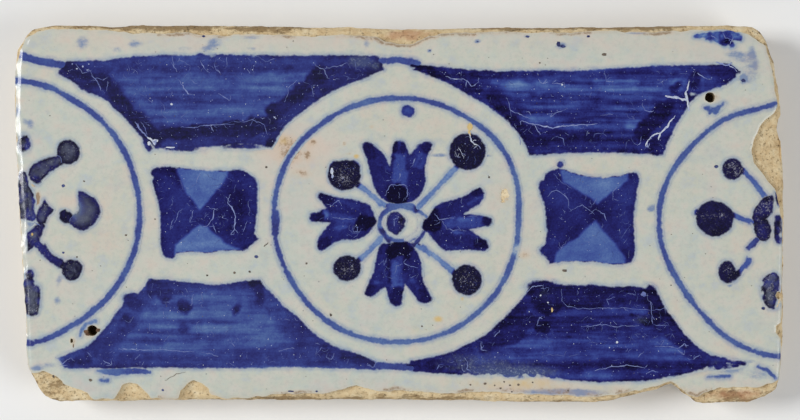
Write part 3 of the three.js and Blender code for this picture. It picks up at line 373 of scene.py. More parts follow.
def grid(low, high, step, finer):
    """Grid lines between two limits, with closer ones round the given places."""
    lines = np.arange(low, high + step, step)
    for at in finer:
        lines = lines[np.abs(lines - at) > 1.5]
        lines = np.sort(np.append(lines, np.arange(at - 1.44, at + 1.45, 0.12)))
    return lines


def add_object(name, data):
    item = bpy.data.objects.new(name, data)
    bpy.context.scene.collection.objects.link(item)
    return item


def add_piece(name, verts, faces, material, slot, replaces=(), smooth_below=40, **attributes):
    mesh = bpy.data.meshes.new(name)
    mesh.from_pydata((np.asarray(verts) / 1000).tolist(), [], [list(face) for face in faces])
    mesh.update()
    for key, values in attributes.items():
        layer = mesh.attributes.new(key, "FLOAT", "POINT")
        layer.data.foreach_set("value", np.asarray(values, dtype=np.float32))
    mesh.polygons.foreach_set("use_smooth", [True] * len(mesh.polygons))
    mesh.set_sharp_from_angle(angle=math.radians(smooth_below))
    mesh.materials.append(material)
    piece = add_object(name, mesh)
    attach(piece, "root")
    if replaces:
        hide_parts(*replaces)


# Materials


def linear(r, g, b):
    """Shader colour of a colour given as it is seen, 0 to 255."""
    channels = [c / 255 / 12.92 if c <= 10 else ((c / 255 + 0.055) / 1.055) ** 2.4 for c in (r, g, b)]
    return (*channels, 1)


def new_material(name, specular):
    """A material and the shader node of its surface."""
    material = bpy.data.materials.new(name)
    material.use_nodes = True
    surface = material.node_tree.nodes["Principled BSDF"]
    surface.inputs["Specular IOR Level"].default_value = specular
    return material, surface


class Value:
    """An output of a node that can be added to, multiplied and spread over a range."""

    def __init__(self, shader, socket):
        self.shader, self.socket = shader, socket

    def __add__(self, other):
        return self.shader.node("Math", 0, {0: self, 1: other}, operation="ADD")

    def __sub__(self, other):
        return self.shader.node("Math", 0, {0: self, 1: other}, operation="SUBTRACT")

    def __mul__(self, other):
        return self.shader.node("Math", 0, {0: self, 1: other}, operation="MULTIPLY")

    def clamped(self):
        self.socket.node.use_clamp = True
        return self

    def spread(self, low, high, to_low=0.0, to_high=1.0):
        """Smooth step from one value at low to another at high."""
        inputs = {"Value": self, "From Min": low, "From Max": high, "To Min": to_low, "To Max": to_high}
        return self.shader.node("MapRange", "Result", inputs, interpolation_type="SMOOTHSTEP")

    def ramp(self, stops):
        """Colour by value. Each stop is a position and a colour as it is seen."""
        ramp = self.shader.node("ValToRGB", "Color", {"Fac": self})
        elements = ramp.socket.node.color_ramp.elements
        while len(elements) < len(stops):
            elements.new(1.0)
        for element, (position, *colour) in zip(elements, stops):
            element.position, element.color = position, linear(*colour)
        return ramp

    def under(self, *layers):
        """This colour under layers, each a cover from 0 to 1 and a colour."""
        colour = self
        for cover, layer in layers:
            colour = self.shader.blend(cover, colour, layer)
        return colour


class Shader:
    """Builds the node tree of one material, read from the pieces' own coordinates."""

    def __init__(self, name, specular):
        self.material, self.surface = new_material(name, specular)
        self.tree = self.material.node_tree
        self.place = self.node("TexCoord", "Object")

    def node(self, kind, output, inputs=(), **settings):
        node = self.tree.nodes.new(f"ShaderNode{kind}")
        for key, value in settings.items():
            setattr(node, key, value)
        for key, value in dict(inputs).items():
            self.set(node.inputs[key], value)
        return Value(self, node.outputs[output])

    def set(self, socket, value):
        if isinstance(value, Value):
            self.tree.links.new(value.socket, socket)
        else:
            socket.default_value = value

    def stretched(self, sizes, turn=0.0):
        """Coordinates in which a feature of the given sizes, in mm, is one unit each way."""
        place = self.place
        if turn:
            place = self.node("Mapping", 0, {"Vector": place, "Rotation": (0, 0, math.radians(turn))})
        return self.node("Mapping", 0, {"Vector": place, "Scale": [1000 / size for size in sizes]})

    def noise(self, sizes, detail=3.0, roughness=0.55, turn=0.0):
        sizes = sizes if isinstance(sizes, tuple) else (sizes,) * 3
        inputs = {"Vector": self.stretched(sizes, turn), "Scale": 1.0, "Detail": detail}
        return self.node("TexNoise", "Fac", {**inputs, "Roughness": roughness})

    def cells(self, size):
        return self.node("TexVoronoi", "Distance", {"Vector": self.stretched((size,) * 3), "Scale": 1.0})

    def blend(self, share, a, b):
        """The first colour where the share is 0 and the second where it is 1."""
        a, b = (colour if isinstance(colour, Value) else linear(*colour) for colour in (a, b))
        return self.node("Mix", 2, {0: share, 6: a, 7: b}, data_type="RGBA")

    def attribute(self, name):
        return self.node("Attribute", "Fac", attribute_name=name)

    def finish(self, colour, roughness, height, depth):
        """Sets the surface. The relief is the height times the depth, in metres."""
        bump = self.node("Bump", 0, {"Height": height, "Distance": depth, "Strength": 1.0})
        for key, value in {"Base Color": colour, "Roughness": roughness, "Normal": bump}.items():
            self.set(self.surface.inputs[key], value)
        return self.material


# Each row is a position and the colour there, as it is seen
GLAZE_COLOURS = [
    (0.26, 180, 187, 188), (0.4, 190, 194, 189), (0.52, 198, 198, 188), (0.62, 201, 196, 182),
    (0.76, 200, 188, 172),
]
GLAZE_TINTS = [(0.34, 172, 188, 196), (0.45, 193, 202, 184), (0.55, 208, 204, 188), (0.68, 214, 194, 178)]
CLAY_COLOURS = [(0.3, 190, 161, 117), (0.42, 212, 185, 141), (0.54, 225, 203, 161), (0.7, 238, 222, 188)]
CRAZE_COLOURS = [(0.05, 56, 66, 130), (0.35, 92, 104, 162), (0.7, 140, 152, 198), (1.0, 206, 212, 220)]
BLUES = [
    (0.0, 178, 190, 198), (0.1, 150, 168, 192), (0.2, 122, 146, 184), (0.32, 92, 118, 170),
    (0.44, 73, 96, 158), (0.56, 58, 74, 146), (0.68, 45, 53, 125), (0.8, 33, 33, 100), (0.9, 23, 19, 72),
    (1.0, 10, 6, 36),
]
GLAZE_RELIEF = 0.000035
CLAY_RELIEF = 0.0002
MARK_RELIEF = 0.00001


def glaze_ground(s):
    """Colour of the bare glaze: mottled from bluish to warm white, with fine dark specks."""
    return s.noise(19, 5, 0.62).ramp(GLAZE_COLOURS).under(
        (0.5, s.noise(3.4, 5, 0.65).ramp(GLAZE_TINTS)),
        (s.noise(1.1, 5, 0.7).spread(0.36, 0.66) * 0.3, (210, 211, 199)),
        (s.noise((5, 4, 5), 4).spread(0.55, 0.8) * 0.4, (172, 179, 184)),
        (s.noise(0.55, 3, 0.7).spread(0.45, 0.68) * 0.26, (166, 168, 162)),
        (s.cells(2.3).spread(0.075, 0.03) * (s.noise(7, 1).spread(0.5, 0.6) * 0.6), (112, 112, 116)),
    )


def bleed(s, depth, ground):
    """The ground with the faint blue that bleeds from pigment into the glaze beside it."""
    uneven = s.noise(1.3).spread(0.3, 0.7, 0.45, 1.0)
    return ground.under((depth.spread(-0.95, -0.05, 0.0, 0.54) * uneven, (98, 128, 176)))


def glaze_relief(s):
    """Relief of the glaze: a slow orange peel with pinholes."""
    return s.noise(2.4, 2) * 0.6 + s.cells(2.9).spread(0.03, 0.075) * 0.5


def clay_colour(s, soil):
    """Fired clay: buff, mottled, with brown soil where the factor is high, and the grain in it."""
    grain = s.noise(0.5, 3, 0.7).spread(0.57, 0.7)
    colour = s.noise(2.1, 7, 0.72).ramp(CLAY_COLOURS).under((grain * 0.6, (128, 100, 62)))
    dirty = (s.noise((2.6, 1.2, 1.2), 5, 0.7) + soil * 0.22).spread(0.6, 0.76)
    return colour.under((dirty * 0.85, s.blend(grain, (140, 114, 78), (66, 50, 34)))), grain


def make_glaze():
    s = Shader("tin_glaze_white", 0.4)
    wisp, crumbs, chip = s.noise(2.2, 5, 0.65), s.noise(0.75, 4, 0.72), s.noise(0.8, 4, 0.72)
    rust = s.attribute("rust")
    bare = (s.attribute("bare") * chip).spread(0.4, 0.5)
    colour = bleed(s, s.attribute("near"), glaze_ground(s)).under(
        (s.attribute("blush") * wisp.spread(0.25, 0.6, 0.4, 1.0) * 0.75, (216, 195, 178)),
        ((s.attribute("smudge") * s.noise((1.1, 0.7, 0.9), 5, 0.75)).spread(0.16, 0.66), (126, 142, 172)),
        ((rust * wisp).spread(0.1, 0.6) * 0.45, (206, 178, 148)),
        ((rust * crumbs).spread(0.36, 0.62) * 0.75, (140, 112, 82)),
        ((s.attribute("yellow") * wisp).spread(0.1, 0.5) * 0.9, (212, 182, 118)),
        (bare, clay_colour(s, 0.2)[0]),
        ((s.attribute("edge") + chip * -0.7).spread(0.0, -0.35) * 0.6, (214, 206, 186)),
    )
    rough = s.noise(6).spread(0.3, 0.7, 0.14, 0.24) + bare * 0.5
    return s.finish(colour, rough, glaze_relief(s) - bare, GLAZE_RELIEF)


def make_clay():
    s = Shader("fired_clay", 0.25)
    colour, grain = clay_colour(s, s.attribute("soil"))
    red = (s.attribute("red") * s.noise(2, 4)).spread(0.25, 0.6)
    # The attribute hole paints the nail holes and the second pit dark brown: painted shade in these recesses
    colour = colour.under((s.attribute("hole"), (62, 44, 26)), (red * 0.6, (186, 132, 98)))
    relief = s.noise(0.8, 5, 0.7) * 1.2 + s.cells(1.1).spread(0.05, 0.16) - grain * 0.4
    return s.finish(colour, grain.spread(0, 1, 0.82, 0.95), relief, CLAY_RELIEF)


def make_paint(name, streak_sizes, streak, turn=0.0, grain=0.2, crackle=0.1, thin=0.72, specular=0.15,
               haze=0.0, blistered=False, dusty=False):
    """Cobalt pigment sunk in the glaze. The pieces carry its strength as the attribute tone and the
    distance from the outline, in mm, as the attribute inside."""
    s = Shader(name, specular)
    inside = s.attribute("inside")
    depth = inside + (s.noise(0.6) - 0.5) * 0.5
    tone = s.attribute("tone") + (s.noise(streak_sizes, 4, 0.6, turn) - 0.5) * streak
    tone = tone + (s.noise(0.8, 5, 0.7) - 0.5) * grain
    tone = (tone * depth.spread(-0.3, 0.2, thin, 1.0)).clamped()
    tone = (tone + (s.noise(0.34, 2, 0.8) - 0.5) * (1.4 * grain)).clamped()
    froth = s.cells(0.55).spread(0.16, 0.07) * s.noise(1.7).spread(0.5, 0.68)
    tone = (tone - froth * crackle).clamped()
    colour = tone.ramp(BLUES).under((haze, (70, 74, 98)))
    if blistered:
        wash = s.attribute("wash") * s.noise(0.6, 4, 0.75).spread(0.3, 0.64, 0.7, 1.0)
        lifted = s.noise(0.28, 3, 0.8) + s.attribute("fleck") * 0.14
        colour = colour.under((wash, (88, 93, 110)), (lifted.spread(0.61, 0.81) * 0.72, (172, 172, 184)))
    if dusty:
        dust = (s.attribute("dust") * s.noise(0.9, 5, 0.75)).spread(0.18, 0.6)
        film = s.blend(s.noise(0.36, 3, 0.8).spread(0.48, 0.74), (68, 77, 114), (136, 146, 160))
        colour = colour.under((dust * 0.8, film))
    cover = depth.spread(-0.26, 0.1) * tone.spread(0.0, 0.16)
    colour = bleed(s, inside, glaze_ground(s)).under((cover, colour))
    return s.finish(colour, s.noise(3).spread(0.3, 0.7, 0.14, 0.26), glaze_relief(s), GLAZE_RELIEF)


def make_mark(name, colour, other):
    """Small specks and stains, each a little different."""
    s = Shader(name, 0.4)
    mixed = s.blend(s.noise(0.9).spread(0.35, 0.65), colour, other)
    return s.finish(mixed, s.noise(1.5).spread(0.3, 0.7, 0.2, 0.32), s.noise(0.5, 2), MARK_RELIEF)


def make_craze():
    """Pale crazing in the pigment, from light blue to white by the attribute pale."""
    s = Shader("craze_white", 0.35)
    pale = s.attribute("pale") + (s.noise(0.7) - 0.5) * 0.9
    return s.finish(pale.ramp(CRAZE_COLOURS), 0.3, s.noise(0.5), MARK_RELIEF)


clay_material = make_clay()
glaze_material = make_glaze()
paints = {
    "field": make_paint("cobalt_field", (14, 0.8, 4), 0.34, crackle=0.22, dusty=True),
    "hazy_field": make_paint("cobalt_field_hazy", (14, 0.8, 4), 0.26, crackle=0.22, haze=0.13, dusty=True),
    "square": make_paint("cobalt_square", (5, 0.9, 4), 0.16, turn=-8, grain=0.18, crackle=0.24),
    "line": make_paint("cobalt_line", 2.4, 0.16, specular=0.4, haze=0.13),
    "petal": make_paint("cobalt_petal", 2.6, 0.12, crackle=0.16),
    "berry": make_paint("cobalt_berry", 1.6, 0.08, grain=0.16, thin=0.88, specular=0.3, blistered=True),
}
speck_material = make_mark("iron_speck", (84, 76, 70), (120, 106, 92))
cobalt_speck_material = make_mark("cobalt_speck", (44, 48, 92), (74, 84, 130))
stain_material = make_mark("rust_stain", (120, 90, 66), (88, 64, 48))
amber_material = make_mark("amber_glaze", (216, 190, 130), (196, 166, 108))
craze_material = make_craze()


# Clay slab and glaze


def blob_sum(x, y, blobs):
    """Sum of soft spots, each a centre, a radius along x and along y, and an amount."""
    total = np.zeros(np.broadcast(x, y).shape)
    for cx, cy, rx, ry, amount in blobs:
        total += amount * np.exp(-(((x - cx) / rx) ** 2) - ((y - cy) / ry) ** 2)
    return total


def side_level(z, inset):
    """The slab's edge at one height: cut with a slanted knife that dragged grit along."""

    def level(rim):
        x, y, height = rim[:, 0], rim[:, 1], np.full(len(rim), z)
        gx = tile_inside(x + SLOPE_REACH, y) - tile_inside(x - SLOPE_REACH, y)
        gy = tile_inside(x, y + SLOPE_REACH) - tile_inside(x, y - SLOPE_REACH)
        drag = 0.16 * noise(x - y, height * 0.35, 1.4, 41) + 0.1 * noise(x + 2 * y, height, 0.8, 42, 2)
        move = inset + 0.14 + drag * min(1.0, (9.2 - z) / 1.5)
        size = np.hypot(gx, gy) + 1e-9
        x, y = x + gx / size * move, y + gy / size * move
        return np.column_stack([x, y, height + (0.05 * noise(x, y, 2, 43) if z > FOOT_TOP else 0)])

    return level


def face_grid(step):
    """Grid over the face, closer round the nail holes: its lines and its points."""
    xs = grid(-66, 66, step, [hole[0] for hole in NAIL_HOLES])
    ys = grid(-33, 33, step, [hole[1] for hole in NAIL_HOLES])
    return xs, ys, *np.meshgrid(xs, ys)


def build_clay():
    xs, ys, gx, gy = face_grid(CLAY_STEP)
    edge = distance(segments_of(TILE_EDGE), gx, gy)
    edge += 0.09 * noise(gx, gy, 1.9, 5) + 0.05 * noise(gx, gy, 0.7, 6, 2) - 0.2 * smooth(-62.4, -63.4, gx)
    levels = [side_level(z, UNDERCUT * (1 - z / SIDE_HEIGHTS[0])) for z in SIDE_HEIGHTS]
    levels.append(side_level(0.0, UNDERCUT + FOOT_ARRIS))
    verts, faces = solid_over(edge, xs, ys, clay_z, levels)
    x, y, z = verts.T
    soil = blob_sum(x, y, SOIL) + 0.5 * smooth(0.35, 0.0, tile_inside(x, y)) * (z > 6)
    soil += 0.15 * noise(x, y, 9, 44)
    soil = np.where(z < SIDE_HEIGHTS[0] + 0.1, 0.25 + 0.3 * noise(x - y, z * 2, 9, 45), soil)
    # Painted shade: dark brown in the nail holes and in the second clay pit
    hole = np.zeros(len(x))
    for cx, cy, r in NAIL_HOLES:
        hole = np.maximum(hole, smooth(r + 0.25, r - 0.25, np.hypot(x - cx, y - cy)))
    # The first pit is a chip at the right end, as pale as the clay round it
    for cx, cy, rx, ry in CLAY_PITS[1:]:
        hole = np.maximum(hole, 0.7 * smooth(-0.3, 0.1, oval(x, y, cx, cy, rx + 0.1, ry + 0.1)))
    upper = smooth(5.0, 8.4, z + 0.9 * noise(x - y, z, 1.5, 47))
    red = blob_sum(x, y, RED) * (glaze_inside(x, y) < 0) * upper
    add_piece("clay_slab", verts, faces, clay_material, "clay", ["clay_body"], soil=soil, hole=hole, red=red)


def build_glaze():
    xs, ys, gx, gy = face_grid(GLAZE_STEP)
    field = np.minimum(glaze_inside(gx, gy), holes(gx, gy))
    field = np.minimum(field, tile_inside(gx, gy) - 0.12 * smooth(WORN_TO, WORN_FROM, gx))
    verts, faces = solid_over(field, xs, ys, glaze_z, [down_to(GLAZE_UNDERSIDE)])
    x, y, _ = verts.T
    marks = {key: blob_sum(x, y, blobs) for key, blobs in GLAZE_MARKS.items()}
    crumbled = smooth(1.3, 0.1, glaze_inside(x, y)) * (np.abs(y) > 26) * (np.abs(x - 6) < 47)
    marks["rust"] += crumbled * np.clip(0.7 + 0.7 * noise(x, y, 6, 46), 0, 1.2)
    near = np.full(len(x), -3.0)
    for patch in patches:
        there = np.all((verts[:, :2] > patch["low"]) & (verts[:, :2] < patch["high"]), axis=1)
        near[there] = np.maximum(near[there], patch["inside"](x[there], y[there]))
    edge = np.minimum(glaze_inside(x, y), holes(x, y))
    add_piece("glaze_skin", verts, faces, glaze_material, "tin_glaze", ["tin_glaze"], edge=edge, near=near,
              **marks)


# Soft spots on the clay and the glaze, each a centre, two radii and an amount
SOIL = [
    (-38, 31.6, 9, 0.8, 1.5), (-22, 31.3, 6, 0.8, 1.3), (-55, 31.8, 6, 0.7, 1), (20, 31.4, 6, 0.6, 1.1),
    (41, 31.6, 7, 0.6, 1.2), (28, 31.6, 12, 0.5, 0.8), (46, -29.8, 1.4, 0.8, 1.5), (8, -31, 30, 0.8, 0.6),
    (-20, -31, 12, 0.7, 0.7), (62, 29, 2.5, 3, 0.5), (64.6, 15, 0.6, 1.6, 0.6), (57, -31.6, 5, 0.8, 0.5),
    (-60, -29.6, 1.4, 1, 0.5), (-57.5, -29.6, 3.5, 1.6, 0.9), (56, -30.4, 6, 1.4, 1.1),
    (-40, -29.8, 10, 1.2, -0.7),
]
RED = [
    (1.5, 30.4, 5, 1.2, 1.4), (63, 11, 3, 7, 0.4), (57, -30.6, 8, 2, 0.9),
]
GLAZE_MARKS = {
    "smudge": [
        (-64.5, 17.5, 0.7, 1.2, 1.3), (-62.3, 15.2, 0.7, 0.9, 1.3), (-63.4, 15.8, 0.6, 0.6, 0.9),
        (-59.5, 17, 1.5, 2.5, 0.5), (-57.7, -14.6, 0.7, 0.8, 1.1), (-57.3, -10.9, 0.8, 0.9, 1),
        (-57.8, -12.2, 0.6, 0.8, 0.5), (-59.3, -25.5, 2.4, 0.6, 0.9), (-61.3, -26.1, 1.1, 0.4, 1.3),
        (43, 1.3, 1, 0.6, 1.2), (42.5, 0.7, 0.7, 0.5, 1), (6.8, 10, 1.6, 0.32, 1.5),
        (15, 9.9, 1.2, 0.3, 1.2), (15, 8.2, 0.5, 0.35, 0.7), (13.3, -13.1, 0.5, 0.4, 1.2),
        (27.4, 28.5, 1, 0.7, 1.5), (-53.5, 29, 1.4, 1.3, 1.1), (-47.6, 27.8, 1, 0.6, 1),
        (-44.6, 28.8, 1.5, 0.8, 1.1), (-31.2, 29, 1.4, 1.2, 1.2), (-36.2, 28, 1.6, 0.5, 0.8),
        (-32.6, 27.9, 1.2, 0.6, 0.9), (-24.8, 28, 1.2, 0.5, 0.8), (57.5, 26.8, 2.6, 0.6, 0.7),
        (56.5, 28.3, 1.8, 0.6, 0.7), (59.6, 27.4, 0.7, 1.8, 0.5), (58.2, 22.9, 0.5, 0.7, 1.8),
        (56.8, 27.2, 1.9, 0.5, 0.75), (58, 26, 1.7, 0.5, 0.75), (59, 25, 1.2, 0.5, 0.75),
        (59.8, 27.2, 0.7, 1.4, 0.7), (60.4, 25.4, 0.6, 1.2, 0.65), (-8.5, 27.6, 3, 0.4, 0.6),
        (-25, 29.9, 2.2, 0.4, 1), (-5.4, 28.9, 0.7, 0.9, 1.1), (13.2, 29.2, 0.9, 0.4, 0.8),
        (13.4, 26.7, 0.5, 0.4, 0.7), (30.1, 27.7, 0.6, 0.3, 0.7), (32.3, 27.9, 0.5, 0.3, 0.6),
        (40.3, 30.7, 2.2, 0.3, 1.4), (21.7, 30.1, 0.8, 0.4, 0.8), (56, -26.3, 3, 0.8, 1),
        (59.6, -24.9, 1.3, 0.4, 0.9), (52, 30.6, 5, 0.8, 0.6), (16, 30.2, 4, 0.6, 0.5),
        (58.6, 22.6, 2.2, 1.2, 0.6), (60, 24, 2, 1.5, 0.6), (28, -30.2, 6, 0.7, 2.4), (18, -29.4, 5, 1, 0.4),
        (61, -27.2, 2.5, 1, 0.9), (-50, -27.5, 2, 1, 0.5), (-16, 29, 2.5, 0.8, 0.4), (8, -30.4, 9, 0.6, 0.5),
        (46.3, 24.8, 1.2, 0.5, 0.3), (-62.2, -1.6, 0.8, 1.1, 1.3), (-62.2, -4.9, 0.9, 1.2, 1.4),
        (58, 3, 1.6, 1.2, 0.25), (36, -10.5, 4, 0.7, 0.2), (-46, -4.2, 0.7, 0.5, 0.7),
        (43.5, -15, 1, 0.7, 0.4), (-12.5, -13.8, 1, 1, 0.3), (1, 27.5, 5, 0.8, 0.5),
        (62.6, -10.6, 1, 0.7, 0.9), (55.9, -11.9, 0.5, 0.5, 1.3), (49.8, 13.6, 0.5, 0.5, 0.5),
        (57.8, 12.8, 1, 0.8, 0.4), (49.6, -8.6, 1, 1, 0.3), (5.2, 27.7, 0.4, 0.35, 1.2),
        (13.3, 29.2, 0.4, 0.3, 1.2),
    ],
    "rust": [
        (-18, 10.5, 3.6, 3, 1.05), (-24.5, 12, 2.2, 2.5, 0.7), (-14.5, 12.2, 0.7, 0.6, 1),
        (-15.4, 10, 0.5, 0.6, 1), (-9.2, 11.9, 0.4, 0.5, 1.1), (-8.6, 10.2, 0.9, 0.4, 0.9),
        (-16, 6.8, 1.6, 0.9, 0.8), (-4.6, 14.8, 0.5, 0.35, 1.1), (-51.9, -19.7, 1.7, 1.2, 1.7),
        (-55.1, -21.5, 0.6, 0.8, 1.3), (53.2, 19.9, 1.4, 1.3, 1), (-61.6, 5, 0.5, 0.5, 1.2),
        (-60.95, 3.1, 0.5, 0.8, 1.8), (-61.1, 1.9, 0.35, 0.5, 1.4), (21.3, -6.9, 1.2, 0.7, 1),
        (17.8, 3.2, 1.9, 2.6, 0.7), (-12, -31, 6, 0.8, 0.5), (-26, 30.5, 5, 0.7, 0.8),
        (-40, 30.8, 5, 0.7, 0.8), (23, 30.8, 5, 0.5, 0.6), (44, 30.6, 4, 0.6, 0.6), (-56, 31, 5, 0.7, 0.4),
        (27, -29.6, 9, 0.8, 0.5), (3, -30.8, 8, 0.5, 0.6), (-30, 9, 3, 1.2, 0.25), (13, -14, 3, 3, 0.2),
        (-19, 3, 2, 4, 0.3), (-3, 29.2, 4, 0.8, 0.5), (22, -28.6, 10, 1.3, 0.45), (36, -29.3, 4, 0.8, 0.4),
        (52, -26.9, 4, 1, 0.6), (60, 25.5, 2.5, 3, 0.6), (-33, 28.4, 3, 0.5, 0.5),
        (-19.5, 12.6, 1.6, 1.2, 0.35),
    ],
    "yellow": [
        (12, 14.9, 0.6, 0.9, 0.8), (6.7, -17.7, 0.9, 0.6, 1), (3.2, -19.5, 2.5, 1.2, 0.4),
        (22, -28.6, 11, 1.6, 0.4), (-19.4, 12.4, 1.6, 1.3, 0.5), (-5, -28.4, 30, 1.2, 0.28),
        (-7.2, 9.8, 0.5, 0.4, 1.2), (-61.8, 5.1, 0.4, 0.5, 0.8), (24.8, -14.5, 0.6, 1, 0.2),
        (10.7, -14.3, 0.4, 0.4, 0.8),
    ],
    "blush": [
        (-16.5, 11, 6, 4.2, 0.9), (-13, 5, 4, 3, 0.4), (-56, 2.2, 1.7, 1.3, 0.9), (-22, 3, 3, 6, 0.35),
        (-43, -3, 3, 7, 0.3), (12, 15, 3, 2, 0.25), (-20, 12, 4, 3, 0.4), (21, -3, 2, 5, 0.3),
        (55, 27.5, 6, 1.5, 0.3), (-45, 29.5, 14, 1.6, 0.55), (-15, 29.5, 14, 1.6, 0.5),
        (25, 29.6, 14, 1.4, 0.4), (48, 28.6, 8, 1.6, 0.5), (20, -29, 12, 1.5, 0.5), (16, 3, 3.4, 4.5, 0.3),
        (-55, -12, 4, 4, 0.2),
    ],
    "bare": [
        (17.8, 3.2, 1.2, 1.9, 1.25), (20.6, -5.9, 1, 0.8, 0.9), (64.4, -14.4, 0.55, 0.6, 1.3),
        (63.9, -15.5, 0.5, 0.6, 1.2),
    ],
}


# Cobalt pigment


def cad_outline(name):
    """The outline of the upper face of a paint node, as segments in mm."""
    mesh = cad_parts[name].data
    points = [(round(v.co.x * 1000, 3), round(v.co.y * 1000, 3)) for v in mesh.vertices]
    drawn = set()
    for face in mesh.polygons:
        if face.normal.z > 0.7:
            drawn.update((a, b) for a, b in segments_of([points[v] for v in face.vertices]) if a != b)
    return [(a, b) for a, b in drawn if (b, a) not in drawn]


def light_places(name, x, y, outline):
    """Signed distance to the places that the second coat leaves light, positive in them."""
    shade = cad_outline(f"{name}_shade")
    middles = np.array([[(a[0] + b[0]) / 2, (a[1] + b[1]) / 2] for a, b in shade])
    from_edge = np.abs(distance(outline, middles[:, 0], middles[:, 1]))
    border = [segment for segment, gap in zip(shade, from_edge) if gap > 0.02]
    return distance(border, x, y, parity=outline + shade)


SLOTS = {
    "field": "cobalt_wash", "hazy_field": "cobalt_wash", "square": "cobalt_wash", "line": "cobalt_line",
    "petal": "cobalt_dark", "berry": "cobalt_dark",
}
patches = []


def add_paint(name, kind, tone, bumps=(), dents=(), wobble=0.1, thin=0.0, fray=(), slim=(), redrawn=False,
              slot=None, **looks):
    """Notes one patch of pigment on the outline of its node, with the brush's bumps and dents."""
    outline = cad_outline(name)
    corners = [p for segment in outline for p in segment]
    corners += [bump[:2] for bump in bumps] + [bump[2:4] for bump in bumps if len(bump) == 6]

    def inside(x, y):
        field = np.full(x.shape, -FAR) if redrawn else distance(outline, x, y)
        for bump in bumps:
            field = np.maximum(field, spot(x, y, *bump))
        for dent in dents:
            field = np.minimum(field, -spot(x, y, *dent))
        if fray:
            field = field + blob_sum(x, y, fray) * (noise(x, y, 1.1, 55) - 0.25)
        field = field - thin - blob_sum(x, y, slim)
        return field + wobble * noise(x, y, 1.8, 51) + 0.4 * wobble * noise(x, y, 0.6, 52, 2)

    patches.append({
        "name": name, "kind": kind, "slot": slot or SLOTS[kind], "inside": inside, "outline": outline,
        "low": np.min(corners, axis=0) - PATCH_MARGIN, "high": np.max(corners, axis=0) + PATCH_MARGIN,
        "shaded": f"{name}_shade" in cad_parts, "tone": tone, "looks": looks,
    })


def paint_z(x, y):
    return glaze_z(x, y) + PAINT_LIFT


def lay_paint(patch):
    """Makes the mesh of a patch. Two patches that meet share the line where they are equally deep."""
    low, high = patch["low"], patch["high"]
    xs = np.arange(low[0], high[0], PAINT_STEP)
    ys = np.arange(low[1], high[1], PAINT_STEP)
    gx, gy = np.meshgrid(xs, ys)
    own = patch["inside"](gx, gy)
    room = np.minimum(glaze_inside(gx, gy) - GLAZE_CLEAR, holes(gx, gy, HOLE_CLEAR))
    field = np.minimum(own + FRINGE, np.minimum(room, tile_inside(gx, gy) - TILE_CLEAR))
    near = own > -2 * FRINGE
    for other in patches:
        if other is patch or np.any(other["low"] > high) or np.any(other["high"] < low):
            continue
        field[near] = np.minimum(field[near], own[near] - other["inside"](gx[near], gy[near]))
    verts, faces = solid_over(field, xs, ys, paint_z, [down_to(PAINT_UNDERSIDE)])
    x, y, _ = verts.T
    depth = patch["inside"](x, y)
    name, kind, looks = patch["name"], patch["kind"], patch["looks"]
    light = light_places(name, x, y, patch["outline"]) if patch["shaded"] else None
    attributes = {"inside": depth, "tone": patch["tone"](x, y, depth, light)}
    if kind == "berry":
        for key in ("wash", "fleck"):
            attributes[key] = looks[key](x, y, depth) if looks.get(key) else np.zeros(len(x))
    if "field" in kind:
        attributes["dust"] = blob_sum(x, y, looks.get("dust", ()))
    replaced = [name, f"{name}_shade"] if patch["shaded"] else [name]
    add_piece(f"{name}_paint", verts, faces, paints[kind], patch["slot"], replaced, **attributes)


def look(function):
    """Lets a function of the place be called with its other values first and the place later."""
    return lambda *values, **named: lambda *place: function(*place, *values, **named)


def gathered(depth, width):
    """Pigment gathered in a rim of the given width."""
    return np.exp(-np.clip(depth, 0, FAR) / width)


@look
def field_tone(x, y, depth, light, light_tone, dark_tone, blobs, seed, fade=(), strokes=(), streaks=0.12):
    """Tone of a corner field: dark brushed borders round a lighter, streaky middle."""
    middle = smooth(-0.7, 0.7, light + 0.45 * noise(x, y, 2.2, seed))
    value = dark_tone + (light_tone - dark_tone) * middle
    value = value + streaks * noise(x / 11, y, 0.8, seed + 1) * (0.4 + 0.6 * middle)
    value += 0.05 * noise(x, y, 4, seed + 2) + 0.05 * noise(x, y, 1.1, seed + 4)
    for *stroke, own in strokes:
        part = capsule(x, y, *stroke) + 0.45 * noise(x, y, 1.4, seed + 3)
        value = value + (own + 0.03 * noise(x, y, 0.9, seed) - value) * smooth(-0.45, 0.45, part)
    value = value + 0.06 * gathered(depth, 0.45)
    return np.clip(value + blob_sum(x, y, blobs) - blob_sum(x, y, fade), 0.12, 0.97)


@look
def plain_tone(x, y, depth, light, base, rim=0.1, blobs=(), vary=0.06, seed=71, size=3.0):
    """Tone of a stroke or blob: pigment gathered at the rim, a little uneven."""
    value = base + rim * gathered(depth, 0.35) + vary * noise(x, y, size, seed)
    return np.clip(value + blob_sum(x, y, blobs), 0.1, 1.0)


@look
def stroke_tone(x, y, depth, light, base, strokes):
    """Tone of a figure drawn in separate strokes, each with a tone of its own."""
    value = base + 0.05 * noise(x, y, 2.2, 75)
    for *stroke, own in strokes:
        part = capsule(x, y, *stroke) + 0.28 * noise(x, y, 0.9, 76)
        value = value + (own + 0.03 - value) * smooth(-0.36, 0.36, part)
    return np.clip(value + 0.07 * gathered(depth, 0.3), 0.1, 1.0)


@look
def square_tone(x, y, depth, light, light_tone, dark_tone, blobs, seed):
    """Tone of a square: an hourglass of the second coat over the wash."""
    value = dark_tone + (light_tone - dark_tone) * smooth(-0.3, 0.3, light + 0.12 * noise(x, y, 1.2, seed))
    value += 0.05 * noise(x, y, 2.5, seed + 1) + 0.06 * gathered(depth, 0.4)
    return np.clip(value + blob_sum(x, y, blobs), 0.1, 1.0)


